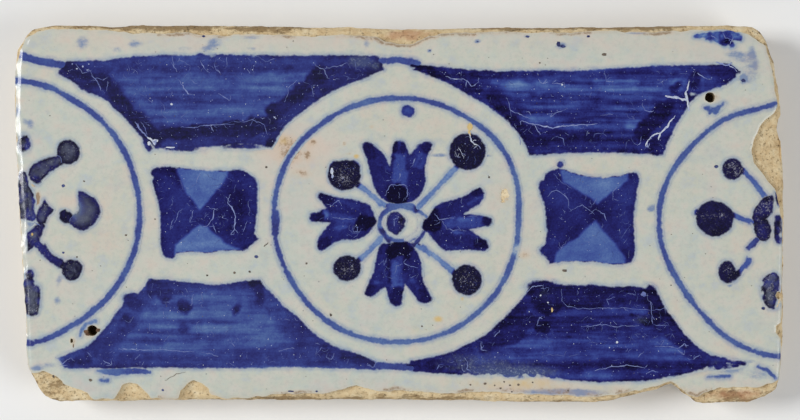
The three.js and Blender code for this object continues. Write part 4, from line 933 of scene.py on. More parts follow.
@look
def berry_tone(x, y, depth, light, cx, cy, r, stalk_tone=0.24, berry=0.98, blobs=()):
    """Tone of a near-black berry on a light stalk."""
    round_it = smooth(r + 0.4, r - 0.1, np.hypot(x - cx, y - cy))
    stalk = stalk_tone + 0.1 * gathered(depth, 0.2) + 0.06 * noise(x, y, 2, 77)
    return np.clip(stalk + (berry - stalk) * round_it + blob_sum(x, y, blobs), 0.1, 1.0)


@look
def flecks(x, y, depth, cx, cy, r, amount, blobs=()):
    """Share of white flecks where the pigment blistered, most in the middle of a berry."""
    away = smooth(r, r * 0.35, np.hypot(x - cx, y - cy))
    total = away * (amount + 0.8 * amount * noise(x, y, 0.9, 79)) + blob_sum(x, y, blobs)
    return np.clip(total, 0, 1) * smooth(0.05, 0.3, depth)


@look
def speckled(x, y, depth, amount, blobs=()):
    """Share of white flecks all over a piece."""
    total = amount + 0.8 * amount * noise(x, y, 1.0, 103) + blob_sum(x, y, blobs)
    return np.clip(total, 0, 1) * smooth(0.0, 0.3, depth)


@look
def washed(x, y, depth, amount, blobs=(), rim=0.75):
    """Share of the grey wash that shows inside a dark rim."""
    total = amount + 0.35 * noise(x, y, 1.0, 101) + 0.2 * noise(x, y, 0.45, 102) + blob_sum(x, y, blobs)
    return np.clip(smooth(0.12, rim, depth) * total, 0, 0.95)


def crescent_side(x, y):
    """How far a point lies toward the pale inner side of the left crescent."""
    return np.clip(blob_sum(x, y, [(-54.6, 0.9, 1.0, 1.4, 1.2)]), 0, 1)


def crescent_tone(x, y, depth, light):
    return np.clip(0.9 - 0.95 * crescent_side(x, y) + 0.05 * noise(x, y, 1.4, 105), 0.03, 1)


def crescent_wash(x, y, depth):
    pale = smooth(0.1, 1.9, depth) * (0.95 + 0.25 * noise(x, y, 0.7, 106))
    return np.clip(pale + crescent_side(x, y) * 1.2, 0, 1)


def eye_fleck(x, y, depth):
    return 0.6 * blob_sum(x, y, [(0.45, -1.6, 0.3, 0.35, 1), (-0.8, -1.2, 0.4, 0.7, 0.4)])


# The rows below: a stroke is its two ends, the width at each and mostly its tone. A bump or dent is a
# stroke without a tone, or an oval of a centre and two radii. With an amount, an oval is a soft spot.

# Rings run over the rounded edge of the glaze at the ends

add_paint("ring_centre", "line", plain_tone(0.45, 0.06, [
    (-21, -2, 1.2, 3, 0.22), (20, -6, 1, 0.8, -0.6), (-19, -9, 2, 3, 0.12), (-15, 13, 3, 3, 0.06),
    (0, -22, 6, 1.5, -0.1), (14, -16, 4, 3, -0.05), (20.5, 0, 2.5, 9, -0.04), (-20.9, -2, 2, 6, 0.04),
    (6, 19, 5, 1.5, 0.06),
], 0.07, 61, 4), bumps=[(-20.9, -3.2, -20.8, 0.2, 1.3, 1.3)], dents=[(20.4, -5.8, 0.7, 0.35)], wobble=0.09,
    thin=0.08)
add_paint("ring_left", "line", plain_tone(0.47, 0.08, [
    (-62, 22.5, 3, 1.5, 0.04), (-52, 18, 3, 3, 0.04), (-44, -3, 1.5, 3, 0.06), (-61, -21.5, 3, 1, 0.1),
], 0.07, 62, 4), bumps=[(-63.6, 22.5, -65.6, 22.6, 0.9, 0.8), (-62, -21.85, -63.6, -21.6, 1, 0.9)],
    thin=0.05)
add_paint("ring_right", "line", plain_tone(0.42, 0.09, [
    (44.7, -8, 1.5, 4, 0.1), (62, 18, 3, 1, 0.08), (47, -17, 3, 3, 0.05), (60, -24, 3, 1, 0.05),
], 0.07, 63, 4), bumps=[
    (62.4, 18.4, 64.3, 18.9, 0.8, 0.7), (62.8, -23.9, 65.2, -24, 0.9, 0.9),
    (60.6, -25.8, 62.3, -26.4, 0.45, 0.6), (62.3, -26.4, 63.6, -27.6, 0.6, 0.8),
    (52.2, -27.5, 55.9, -27.3, 0.4, 0.5),
], thin=0.08)

# Corner fields

add_paint("field_top_left", "hazy_field", field_tone(0.58, 0.77, [
    (-50, 25, 5, 1.4, -0.08), (-37, 22, 3, 0.5, 0.08), (-33, 19.5, 12, 0.5, 0.08),
    (-30, 22.6, 12, 0.5, -0.06), (-30, 18.2, 14, 0.5, -0.07), (-32, 26.1, 18, 1.1, -0.18),
    (-30, 12.2, 9, 0.8, -0.03),
], 81, [(-6, 25.6, 1.8, 1, 0.12)], [
    (-56.8, 25.2, -51.8, 23, 1.6, 2.4, 0.91), (-50.5, 22.9, -41.6, 13, 1.8, 2.6, 0.92),
    (-40.6, 13.4, -24.5, 14.6, 2, 2.4, 0.93), (-13.4, 23.9, -21.4, 16.6, 2.2, 2.2, 0.9),
    (-21.8, 17.8, -21.8, 17.4, 2.2, 2.2, 0.96), (-21.6, 12.4, -21.5, 11.9, 1.8, 1.6, 0.96),
    (-22, 15.5, -29, 14.4, 2.6, 2.2, 0.93), (-5, 24.8, -3.4, 25.2, 1.4, 1.2, 0.9),
    (-13.3, 23.9, -12.8, 23.6, 2.3, 2, 0.95), (-12.5, 24, -7, 25.6, 1.2, 1.2, 0.84),
]), dents=[
    (-35.7, 27.5, 0.7, 0.7), (-31.6, 27.6, 0.5, 0.9), (-24.7, 27.6, 0.5, 0.9), (-50.4, 27.3, 0.8, 0.5),
    (-19.8, 27.5, 0.6, 0.5), (-42, 12, -41.2, 10.9, 0.5, 0.7),
], bumps=[
    (-36.5, 11.2, 2.2, 0.5), (-26.5, 11.5, 2.5, 0.4), (-42.7, 12.2, -42.2, 10.9, 0.8, 0.4),
    (-39.2, 11.2, -37.4, 11.2, 0.5, 0.6),
], fray=[(-31, 27.5, 4, 0.8, 0.35)], dust=[(-6.6, 25.8, 2.2, 1.1, 1.5), (-3.9, 25, 1, 0.8, 0.8)])
add_paint("field_top_right", "field", field_tone(0.57, 0.77, [
    (30, 22.6, 16, 0.5, -0.08), (28, 21.4, 16, 0.5, -0.06), (26, 20.6, 12, 0.5, 0.08),
    (26, 18.4, 12, 1.2, 0.04), (33, 23.9, 12, 0.6, 0.05), (36, 25.1, 14, 0.7, -0.19), (34, 12.4, 7, 1, 0.06),
    (40, 16.2, 9, 0.4, -0.1), (52, 22.2, 2, 1, -0.04), (30, 11.2, 12, 0.8, -0.03),
], 84, [], [
    (2.2, 25.2, 7.6, 23.4, 0.9, 1.2, 0.93), (7.6, 23.4, 13, 21.6, 1.1, 1.6, 0.88),
    (15.6, 19.8, 20.6, 14.6, 1.4, 2.2, 0.92), (20.6, 14.6, 24.4, 12.4, 2.2, 2.6, 0.92),
    (24, 13.2, 33, 12.8, 2.2, 1.8, 0.87), (50.4, 23.4, 49.9, 22.4, 1.6, 1.8, 0.9),
    (47.2, 21.8, 46.4, 21.2, 1.6, 1.6, 0.88), (45.4, 18.4, 41.3, 14, 2.4, 3, 0.93),
    (43.2, 11.9, 42.6, 11.2, 1.8, 1.6, 0.9), (53, 24.7, 57.4, 23.9, 1.6, 1, 0.86),
], streaks=0.2), dents=[(49.6, 20.3, 0.7, 0.35), (36.5, 10.15, 0.5, 0.3)],
    bumps=[(2.2, 25.25, 6.2, 24.3, 0.55, 0.8), (55, 24.6, 57.6, 24.1, 1.4, 0.7)],
    fray=[(56, 24.5, 2, 1.5, 0.6)])
add_paint("field_bottom_left", "hazy_field", field_tone(0.57, 0.67, [
    (-33, -14.5, 4, 0.5, -0.1), (-38, -17.1, 5, 0.45, -0.1), (-30, -19, 9, 0.5, -0.1),
    (-41, -19, 3, 0.6, -0.08), (-34, -16.2, 7, 0.45, 0.08), (-34, -20, 10, 0.5, 0.07),
    (-24, -22.5, 10, 1, 0.06), (-19, -26, 9, 0.35, -0.2), (-44, -25.8, 9, 0.5, 0.06),
    (-17, -19.5, 3, 3, 0.03),
], 87, [(-57.3, -24.8, 1.2, 0.8, 0.2)], [
    (-41.2, -12.4, -39.4, -13.8, 2.6, 2.8, 0.82), (-37, -15, -35.9, -15.8, 1.5, 1.7, 0.84),
    (-45.6, -14.6, -44.2, -15.2, 1.8, 1.8, 0.8), (-46.2, -17.3, -45.7, -18.3, 1.4, 1.2, 0.88),
    (-44.8, -18.8, -52.4, -24, 1.2, 1.8, 0.76), (-52.5, -24.6, -56.6, -24.9, 1.4, 0.9, 0.84),
    (-27.5, -15.8, -27.4, -16.1, 1.7, 1.6, 0.86), (-24.6, -11.5, -23.9, -12, 1.6, 1.6, 0.92),
    (-23.7, -12.8, -23.4, -14.3, 1.5, 1.4, 0.85), (-36.4, -19.2, -36, -19.4, 1.2, 1, 0.76),
    (-12.5, -23.2, -11.9, -23.5, 1.7, 1.5, 0.84), (-9.2, -24.2, -4.6, -25.2, 1.5, 1.7, 0.86),
]), bumps=[(-44.9, -14.4, 1.6, 1.1), (-45.6, -15.2, 1, 1.2)],
    dust=[(-56.8, -24.8, 1.4, 0.7, 0.6), (-17, -20, 4, 3, 0.25)])
add_paint("field_bottom_right", "field", field_tone(0.7, 0.84, [
    (38, -21.8, 9, 1, -0.06), (33, -17.2, 12, 0.7, 0.05), (20, -23.8, 6, 0.9, -0.08),
    (46, -25.3, 5, 1, 0.06), (34, -25.6, 3, 1, 0.04), (38, -26.6, 8, 0.5, -0.1), (34, -14.2, 8, 1.4, 0.06),
], 90, [
    (19, -26.9, 6.5, 0.8, 0.42), (13, -25.4, 3.4, 0.6, 0.14), (55.6, -25.2, 2.5, 0.8, 0.2),
    (33, -27.4, 6, 0.6, 0.3),
], [
    (24.2, -13.2, 25.2, -15, 5, 4.8, 0.91), (40.4, -17.5, 42.4, -18.2, 1.3, 1.6, 0.96),
    (23.4, -19.1, 24.9, -19.2, 1.7, 1.6, 0.95), (14.6, -22.4, 19.2, -20.6, 1.7, 2.4, 0.9),
    (19.2, -20.6, 22.4, -18, 2.4, 2, 0.86), (28.2, -25.8, 30, -26.6, 1.3, 1.6, 0.92),
    (27, -13.4, 42, -13.6, 2.8, 2.8, 0.86), (42.4, -13.8, 44.6, -18.6, 3, 3.4, 0.92),
    (44.8, -19, 50.6, -24, 2.4, 1.6, 0.84), (5, -25.6, 11.2, -25.6, 1.2, 1.6, 0.9),
    (0.8, -25.7, 5, -25.6, 0.8, 1, 0.88),
]), bumps=[
    (42.6, -12.6, 0.8, 0.6), (24.6, -12.3, 2.4, 1.1), (53, -24.6, 58.3, -25.3, 1.4, 0.6),
    (0.4, -25.7, 3, -25.7, 0.7, 0.9),
], fray=[(20, -27.2, 9, 0.9, 0.55), (54, -25.6, 4, 0.8, 0.5)], dust=[
    (16, -25.6, 11, 1.6, 0.75), (20, -26.8, 8, 0.9, 1), (10, -24.2, 6, 1.2, 0.35), (17, -22.6, 7, 1.5, 0.4),
    (24.6, -13.6, 2.8, 2.8, 0.5), (41, -17.8, 2.2, 1.2, 0.7), (53, -25, 3, 0.8, 0.6),
])

# Ties, stray marks and smears

add_paint("tie_top", "line", plain_tone(0.47, 0.06),
    bumps=[(-4.2, 25.9, -2.4, 26, 0.9, 0.9), (1.8, 25.8, 3.2, 25.5, 0.9, 1)])
add_paint("tie_bottom", "line", plain_tone(0.58, 0.06),
    bumps=[(-4.3, -25.5, -3, -25.5, 1, 1), (0.8, -25.8, 2.4, -25.9, 1, 1.1)])
add_paint("tie_top_left", "line", plain_tone(0.5, 0.05, [(-59, 25.7, 3, 1, 0.08)]),
    bumps=[(-59.4, 25.75, -56.8, 25.2, 1, 1.1), (-63.2, 26.8, -64.6, 27.1, 1, 0.8)])
add_paint("nail_mark_upper", "line", plain_tone(0.42, 0.05), wobble=0.16,
    bumps=[(51.8, 17.95, 53.4, 17.35, 0.6, 0.8), (53.4, 17.35, 54.8, 18.6, 0.8, 0.5)])
add_paint("nail_mark_lower", "line", plain_tone(0.25, 0), wobble=0.05, redrawn=True, bumps=[
    (-53.9, -20.6, -53.55, -19.4, 0.3, 0.35), (-53.55, -19.4, -52.8, -18.5, 0.35, 0.4),
    (-52.8, -18.5, -51.2, -18.05, 0.4, 0.45),
])
add_paint("stray_stroke", "line",
    plain_tone(0.4, 0.04, [(-50.5, -26.6, 1.6, 1, -0.14), (-45, -26.4, 3, 1, 0.12)]), redrawn=True,
    wobble=0.12, bumps=[
        (-51, -26.4, -48, -26.7, 0.3, 0.95), (-48, -26.7, -44.6, -26.4, 0.95, 0.9),
        (-44.6, -26.4, -42.1, -26.7, 0.9, 0.25), (-50.2, -28.1, -49.2, -28.05, 0.45, 0.4),
    ])
add_paint("corner_smear", "petal", plain_tone(0.5, 0.04, [
    (55.4, 29.2, 1.3, 0.9, 0.32), (54, 30.2, 1.5, 0.5, 0.14), (51.4, 30.2, 1.2, 0.6, -0.16),
    (52.6, 29.6, 0.4, 0.5, 0.2),
], 0.22, 73, 0.7), slot="cobalt_wash", redrawn=True, wobble=0.26, bumps=[
    (50.4, 30.3, 52.4, 30.1, 0.5, 1), (52.2, 30.1, 56.6, 30.2, 1.2, 1.7), (52.6, 29.7, 55.4, 29.2, 0.8, 1.5),
    (55.6, 29.4, 56.3, 28.6, 1.5, 1), (56.4, 30, 57.4, 29.8, 1.3, 0.8),
])

# Squares: an hourglass of the second coat over the wash

add_paint("square_left", "square", square_tone(0.4, 0.81, [
    (-29, 1, 3.4, 8, 0.08), (-36.5, 3, 1.8, 3, -0.08), (-33.5, 6.6, 1.3, 2, -0.06),
    (-31.5, 6, 2, 1.6, -0.04), (-36.8, 6.2, 1.2, 1.6, 0.1), (-33, -5, 4, 0.6, -0.12),
    (-31, -4, 2, 0.6, -0.06), (-38.5, 7.3, 3, 0.8, 0.08), (-33.8, 3.4, 1, 1.2, 0.06),
], 93), dents=[(-42, 6.15, 0.5, 0.35)])
add_paint("square_right", "square", square_tone(0.42, 0.8, [
    (33, 0.4, 1.6, 2, 0.14), (28, -5, 2, 3, 0.06), (34, 5.2, 2.4, 1.2, -0.1), (33.3, -3.4, 2.2, 1.2, -0.06),
    (38.5, -1, 1.5, 5, -0.06), (30.5, 6.4, 2, 1, 0.04), (31, -6.8, 3, 0.7, 0.06), (27, 2.5, 2, 2, -0.04),
    (36, -5.5, 1.5, 1.5, 0.03), (38.2, -6.8, 1, 1.2, 0.1), (38.6, 6.2, 1.2, 1.2, 0.08),
], 96), bumps=[(24.6, 5.1, 0.8, 0.6), (24.6, -6.1, 0.8, 0.6)])
add_paint("fleck_above_square", "berry", plain_tone(0.66, 0.1))

# Rosette

add_paint("rosette_hub", "line", stroke_tone(0.4, [
    (-2.2, 1.4, -3.4, -0.6, 0.9, 0.9, 0.55), (-3.2, -1.9, -1.8, -4.5, 0.9, 0.9, 0.8),
    (3, 0.9, 3.2, 0.7, 1, 1, 0.82), (3.7, 0.3, 4.8, -0.4, 0.9, 0.9, 0.3),
    (4.5, -2.8, 2.7, -5.1, 0.9, 0.9, 0.62), (2.3, -5.2, 3.3, -5.2, 0.7, 0.7, 0.75),
    (-3.3, -1.2, -3.2, -1.8, 0.9, 0.9, 0.3),
]), bumps=[
    (-2.3, 1.5, 2.2, 1.65, 0.7, 0.55), (2.2, 1.6, 3.1, 0.8, 0.6, 0.75), (3.1, 0.8, 4.7, -0.4, 0.7, 0.6),
    (4.5, -2.8, 2.6, -5.2, 0.6, 0.75), (-3.3, -1.8, -1.7, -4.6, 0.75, 0.7), (2.1, -5.2, 3.4, -5.2, 0.6, 0.5),
], dents=[(3.2, -0.3, 3.7, -1.7, 1, 1.3), (3.7, -1.7, 3.2, -3.1, 1.3, 1.1), (3.2, -3.1, 1.3, -4.2, 1.2, 1)],
    thin=0.08, wobble=0.06)
add_paint("rosette_eye", "berry", plain_tone(0.82, 0.12, [(0.4, -1, 0.5, 0.7, 0.2)]),
    bumps=[(-0.5, -1.6, -0.5, -2.85, 2, 1), (0.5, -1, 0.55, 0.5)], wobble=0.08, fleck=eye_fleck)
# Each tulip's strokes, and the bumps on it
TULIPS = {
    "tulip_north": ([
        (-1.8, 4.2, -5.1, 11.3, 3.2, 2, 0.79), (-5.3, 11.3, -4.6, 10.2, 1.6, 1.7, 0.87),
        (0.1, 5.6, -0.1, 11.5, 2.6, 2, 0.56), (-0.6, 11, -0.6, 11.9, 1.5, 1.3, 0.88),
        (0.6, 10.9, 0.7, 11.8, 1.2, 1.2, 0.84), (2.5, 4.2, 3.6, 9, 2.6, 1.6, 0.8),
        (2.7, 8.4, 3.9, 10.3, 0.7, 0.6, 0.56), (3.8, 8, 4.6, 10.2, 0.9, 0.7, 0.62),
        (4.6, 11.1, 5.3, 11.6, 1.8, 1.7, 0.87), (-1.3, 6.8, -0.9, 9.6, 0.5, 0.4, 0.86),
        (-0.45, 3.4, -0.15, 3.4, 3.6, 3.6, 0.99),
    ], [(-0.1, 3.3, 1.9, 1.5)]),
    "tulip_south": ([
        (-1.8, -6.8, -3.4, -10.8, 2.2, 2.4, 0.76), (-1.2, -6.8, -1.5, -11.4, 1.2, 0.9, 0.9),
        (-3.9, -11.4, -2.9, -11.6, 0.7, 0.6, 0.5), (-5, -12.6, -5.4, -13.2, 2.2, 2, 0.86),
        (-0.6, -8.4, -0.35, -12.2, 1.3, 2, 0.5), (0.4, -8, 0.1, -11.4, 0.5, 0.6, 0.64),
        (-0.3, -13.3, -0.3, -14.4, 2.4, 2.2, 0.86), (1.7, -7, 3.1, -11.6, 2.4, 2.3, 0.81),
        (1, -7.2, 1.05, -9.8, 0.7, 0.5, 0.9), (2.2, -11.2, 3, -12.2, 0.7, 0.6, 0.62),
        (4.3, -13.6, 5.2, -14.4, 2, 1.6, 0.87), (-1, -5.9, 1, -6, 2.6, 2.4, 0.98),
    ], [(0.2, -5.7, 2.2, 1.15)]),
    "tulip_east": ([
        (6.4, -0.5, 12.3, 2.7, 2.8, 1.8, 0.8), (12, 1.9, 13.4, 2.8, 0.6, 0.6, 0.6),
        (13.2, 3.6, 13.8, 4, 1.5, 1.3, 0.88), (8.2, -1.6, 13.8, -1.1, 1.7, 1.9, 0.6),
        (9, -0.9, 12.6, -0.8, 0.4, 0.4, 0.46), (15, -1.2, 15.5, -1.2, 1.7, 1.4, 0.88),
        (7, -3.6, 12.6, -4.9, 2.4, 2, 0.8), (9, -3, 10.8, -3.1, 0.5, 0.4, 0.52),
        (13.5, -5, 14.2, -5.2, 2, 1.7, 0.92), (5, -1.8, 5.9, -1.9, 2.2, 2.8, 0.99),
        (6.1, -0.2, 6.2, 0.3, 1.2, 1.2, 0.93),
    ], [(5, -1.9, 1.1, 1.2), (12, -1.15, 14.9, -1.2, 2.3, 1.5)]),
    "tulip_west": ([
        (-6.4, 0.2, -11.2, 1.9, 2.6, 2.2, 0.79), (-7, 1.3, -10.2, 2.4, 0.8, 0.6, 0.68),
        (-12.2, 2.5, -13, 3.1, 2, 1.6, 0.88), (-7.8, -1, -12, -0.3, 1, 1.2, 0.64),
        (-12.4, 0.1, -12.6, -0.3, 0.7, 0.7, 0.36), (-13.6, -0.5, -14.2, -0.5, 1.9, 1.7, 0.88),
        (-6.6, -2.6, -11.4, -3.4, 2.4, 2.2, 0.76), (-9, -2.1, -10.8, -2.3, 0.5, 0.4, 0.56),
        (-12.4, -4.6, -12.9, -5.2, 2, 1.8, 0.86), (-4.6, -1.1, -5.9, -1.5, 1.8, 2.7, 0.98),
        (-6.2, -2.2, -7.2, -2.6, 1, 0.7, 0.93),
    ], [(-4.9, -1.1, 1.15, 1)]),
}
for name, (strokes, bases) in TULIPS.items():
    add_paint(name, "petal", stroke_tone(0.77, strokes), bumps=bases, wobble=0.08)

# Each berry's centre and radius, its amount of white flecks, soft spots with more, and its bumps
BERRIES = {
    "berry_north_west": (-9.15, 6.6, 2.9, 0.42, [(-11.25, 7.2, 0.3, 0.6, 1.6), (-9, 6.4, 0.9, 0.9, 0.4)], [
        (-4.8, 3.2, -2.3, 1.55, 0.78, 0.74), (-10.6, 7.9, 1.15, 1.1), (-7.7, 8, 1.1, 1.05),
    ]),
    "berry_north_east": (11.6, 10.65, 3.15, 0, [(12.6, 11.6, 0.4, 0.4, 0.8), (9.9, 10.4, 0.7, 1.2, 0.3)],
        [(4.4, 2.3, 3.1, 0.95, 0.85, 0.8)]),
    "berry_south_west": (-8.7, -9.1, 2.45, 0.45, [], [(-4.7, -5.6, -3, -3.9, 0.78, 0.72)]),
    "berry_south_east": (11.45, -11.1, 2.6, 0.42, [(12.4, -11.4, 0.8, 1.2, 0.4)],
        [(5.2, -6.8, 3, -5.2, 0.7, 0.66)]),
}
for name, (cx, cy, r, amount, blobs, bumps) in BERRIES.items():
    add_paint(name, "berry", berry_tone(cx, cy, r), bumps=bumps, wobble=0.06,
        slim=[(0.5 * cx, 0.5 * cy - 0.8, 2.4, 2.4, 0.15)], fleck=flecks(cx, cy, r, amount, blobs))
add_paint("fleck_above_rosette", "petal", plain_tone(0.56, 0.16), slot="cobalt_line")

# Half rosettes at the ends, greyer where the second coat blistered

# Each dark piece's tone, bumps, share of grey wash and share of white flecks
DARK_PIECES = {
    "left_bar": (0.9, [(-58.9, 8.5, -57.4, 9.1, 2, 1.8)],
        washed(0.55, [(-58.7, 7.9, 0.5, 0.4, -0.9), (-61.2, 5.9, 0.8, 0.5, -0.9)]), speckled(0.25)),
    "left_seed": (0.97, [(-56.2, -0.4, 0.95, 0.95)], None, None),
    "left_leaf": (0.88, [], washed(0.45, [(-60.6, 0.4, 0.7, 0.8, 0.3)]), speckled(0.25)),
    "left_heart": (0.86, [(-60.8, -2.6, -60.4, -1.9, 1.5, 1), (-61.6, -4.4, 0.9, 0.8)],
        washed(0.4, [(-62, -3.4, 0.5, 0.5, 0.6)]), speckled(0.15, [(-61.95, -3.35, 0.3, 0.35, 1.2)])),
    "left_edge_fleck": (0.88, [(-63.4, 12.1, 0.8, 1.25)], washed(0.3), speckled(0.4)),
    "left_edge_leaf_upper": (0.86, [(-63.4, 6.4, -63.4, 0.2, 1.4, 1.8), (-62.4, 2, -61.9, -0.4, 1.2, 1)],
        washed(0.7), speckled(0.5)),
    "left_edge_leaf_lower": (0.86, [
        (-62.4, -10.1, 0.75, 0.8), (-62.6, -11.4, -62, -16, 1.6, 2.4),
        (-61.2, -12.6, -61.3, -15.6, 1.2, 1.4),
    ], washed(0.5, [(-61.4, -14, 0.9, 1.8, 0.45)]), speckled(0.5)),
    "right_petal": (0.9, [(61.65, -2.5, 1.15, 1.8), (60.9, -0.4, 1, 1.6)], None, speckled(0.7)),
    "right_edge_leaf_middle": (0.84, [
        (64.1, -0.6, 64.3, -4.4, 0.9, 0.8), (63.85, 3.6, 64.3, 1.7, 0.35, 0.4),
    ], None, speckled(0.1, [(64.6, -2.6, 0.3, 0.8, 0.9)])),
    "right_edge_leaf_lower": (0.92, [(62.6, -11.2, 1.1, 0.9), (63.2, -11, 63.8, -15.4, 2.2, 1)],
        washed(0.3, [(62.6, -13, 0.6, 1.4, 0.35)]), speckled(0.6, [(62.8, -13, 0.5, 0.5, 0.5)])),
}
END_DENTS = {
    "right_petal": [(63.6, -1.2, 0.8, 0.6)],
    "right_edge_leaf_middle": [(64.7, -3.5, 65.6, -3.4, 1.2, 1.7)],
    "right_edge_leaf_lower": [(61.4, -13.4, 0.35, 0.5), (64.7, -14.2, 63.9, -15.6, 1.4, 1.1)],
}
for name, (tone, bumps, wash, fleck) in DARK_PIECES.items():
    uneven = 0.2 if "edge" in name else 0.08
    add_paint(name, "berry", plain_tone(tone, 0.08, (), uneven, 71, 1), wash=wash, fleck=fleck, bumps=bumps,
        dents=END_DENTS.get(name, ()), wobble=0.12)
add_paint("left_crescent", "berry", crescent_tone, wash=crescent_wash, fleck=speckled(0.12), wobble=0.12)
add_paint("left_berry_upper", "berry", plain_tone(0.93, 0.06), wash=washed(0.65, rim=1.4),
    fleck=speckled(0.25))
add_paint("left_berry_lower", "berry", berry_tone(-55.25, -9.35, 1.9, 0.8),
    wash=washed(0.3, [(-55.4, -9.2, 0.7, 0.8, 0.4), (-59, -7, 2.5, 2, -0.9)]), fleck=speckled(0.25),
    bumps=[(-60, -6.1, -61.4, -4.7, 1.15, 1)])
add_paint("right_berry_upper", "berry", berry_tone(56.4, 7.6, 1.85, 0.4, 0.95), wobble=0.06,
    slim=[(59.2, 5, 1.5, 2, 0.12)],
    fleck=flecks(56.35, 7.7, 2.2, 0.9, [(56.6, 8, 0.6, 0.5, 1.4), (58.2, 7.4, 0.5, 0.5, 0.7)]))
add_paint("right_berry_middle", "berry",
    berry_tone(53.4, -0.7, 3.3, 0.44, 0.95, [(52.4, 0.6, 1.2, 1, -0.03), (54, -3, 1.5, 0.8, 0.05)]),
    fleck=flecks(53.4, -0.7, 3.2, 0.03, [(54.5, -0.2, 0.8, 0.6, 1.2), (52, -0.4, 1.2, 0.8, 0.7)]), thin=0.05,
    slim=[(58.9, -0.9, 1.4, 1, 0.12)], bumps=[(50.5, 0.3, 0.5, 0.5), (59, -0.95, 60.2, -1.4, 0.85, 0.8)])
add_paint("right_berry_lower", "berry",
    berry_tone(55.5, -9.7, 2, 0.42, 0.95, [(57.2, -10.4, 0.8, 0.5, 0.4), (58.8, -8.2, 0.7, 0.9, 0.03)]),
    fleck=flecks(55.5, -9.7, 1.8, 0.5), slim=[(58.2, -8.4, 1.2, 1.2, 0.1)],
    bumps=[(58.6, -8.7, 59.1, -7.8, 0.9, 0.9)], dents=[(59.6, -7, 0.6, 0.4)])
add_paint("right_stroke", "line", plain_tone(0.58, 0.12, vary=0.12, size=0.8),
    bumps=[(59.5, -5.3, 60.5, -4.3, 0.9, 0.9)], wobble=0.16, thin=0.1)


# Crazing, specks and stains, each a thin body laid into the surface

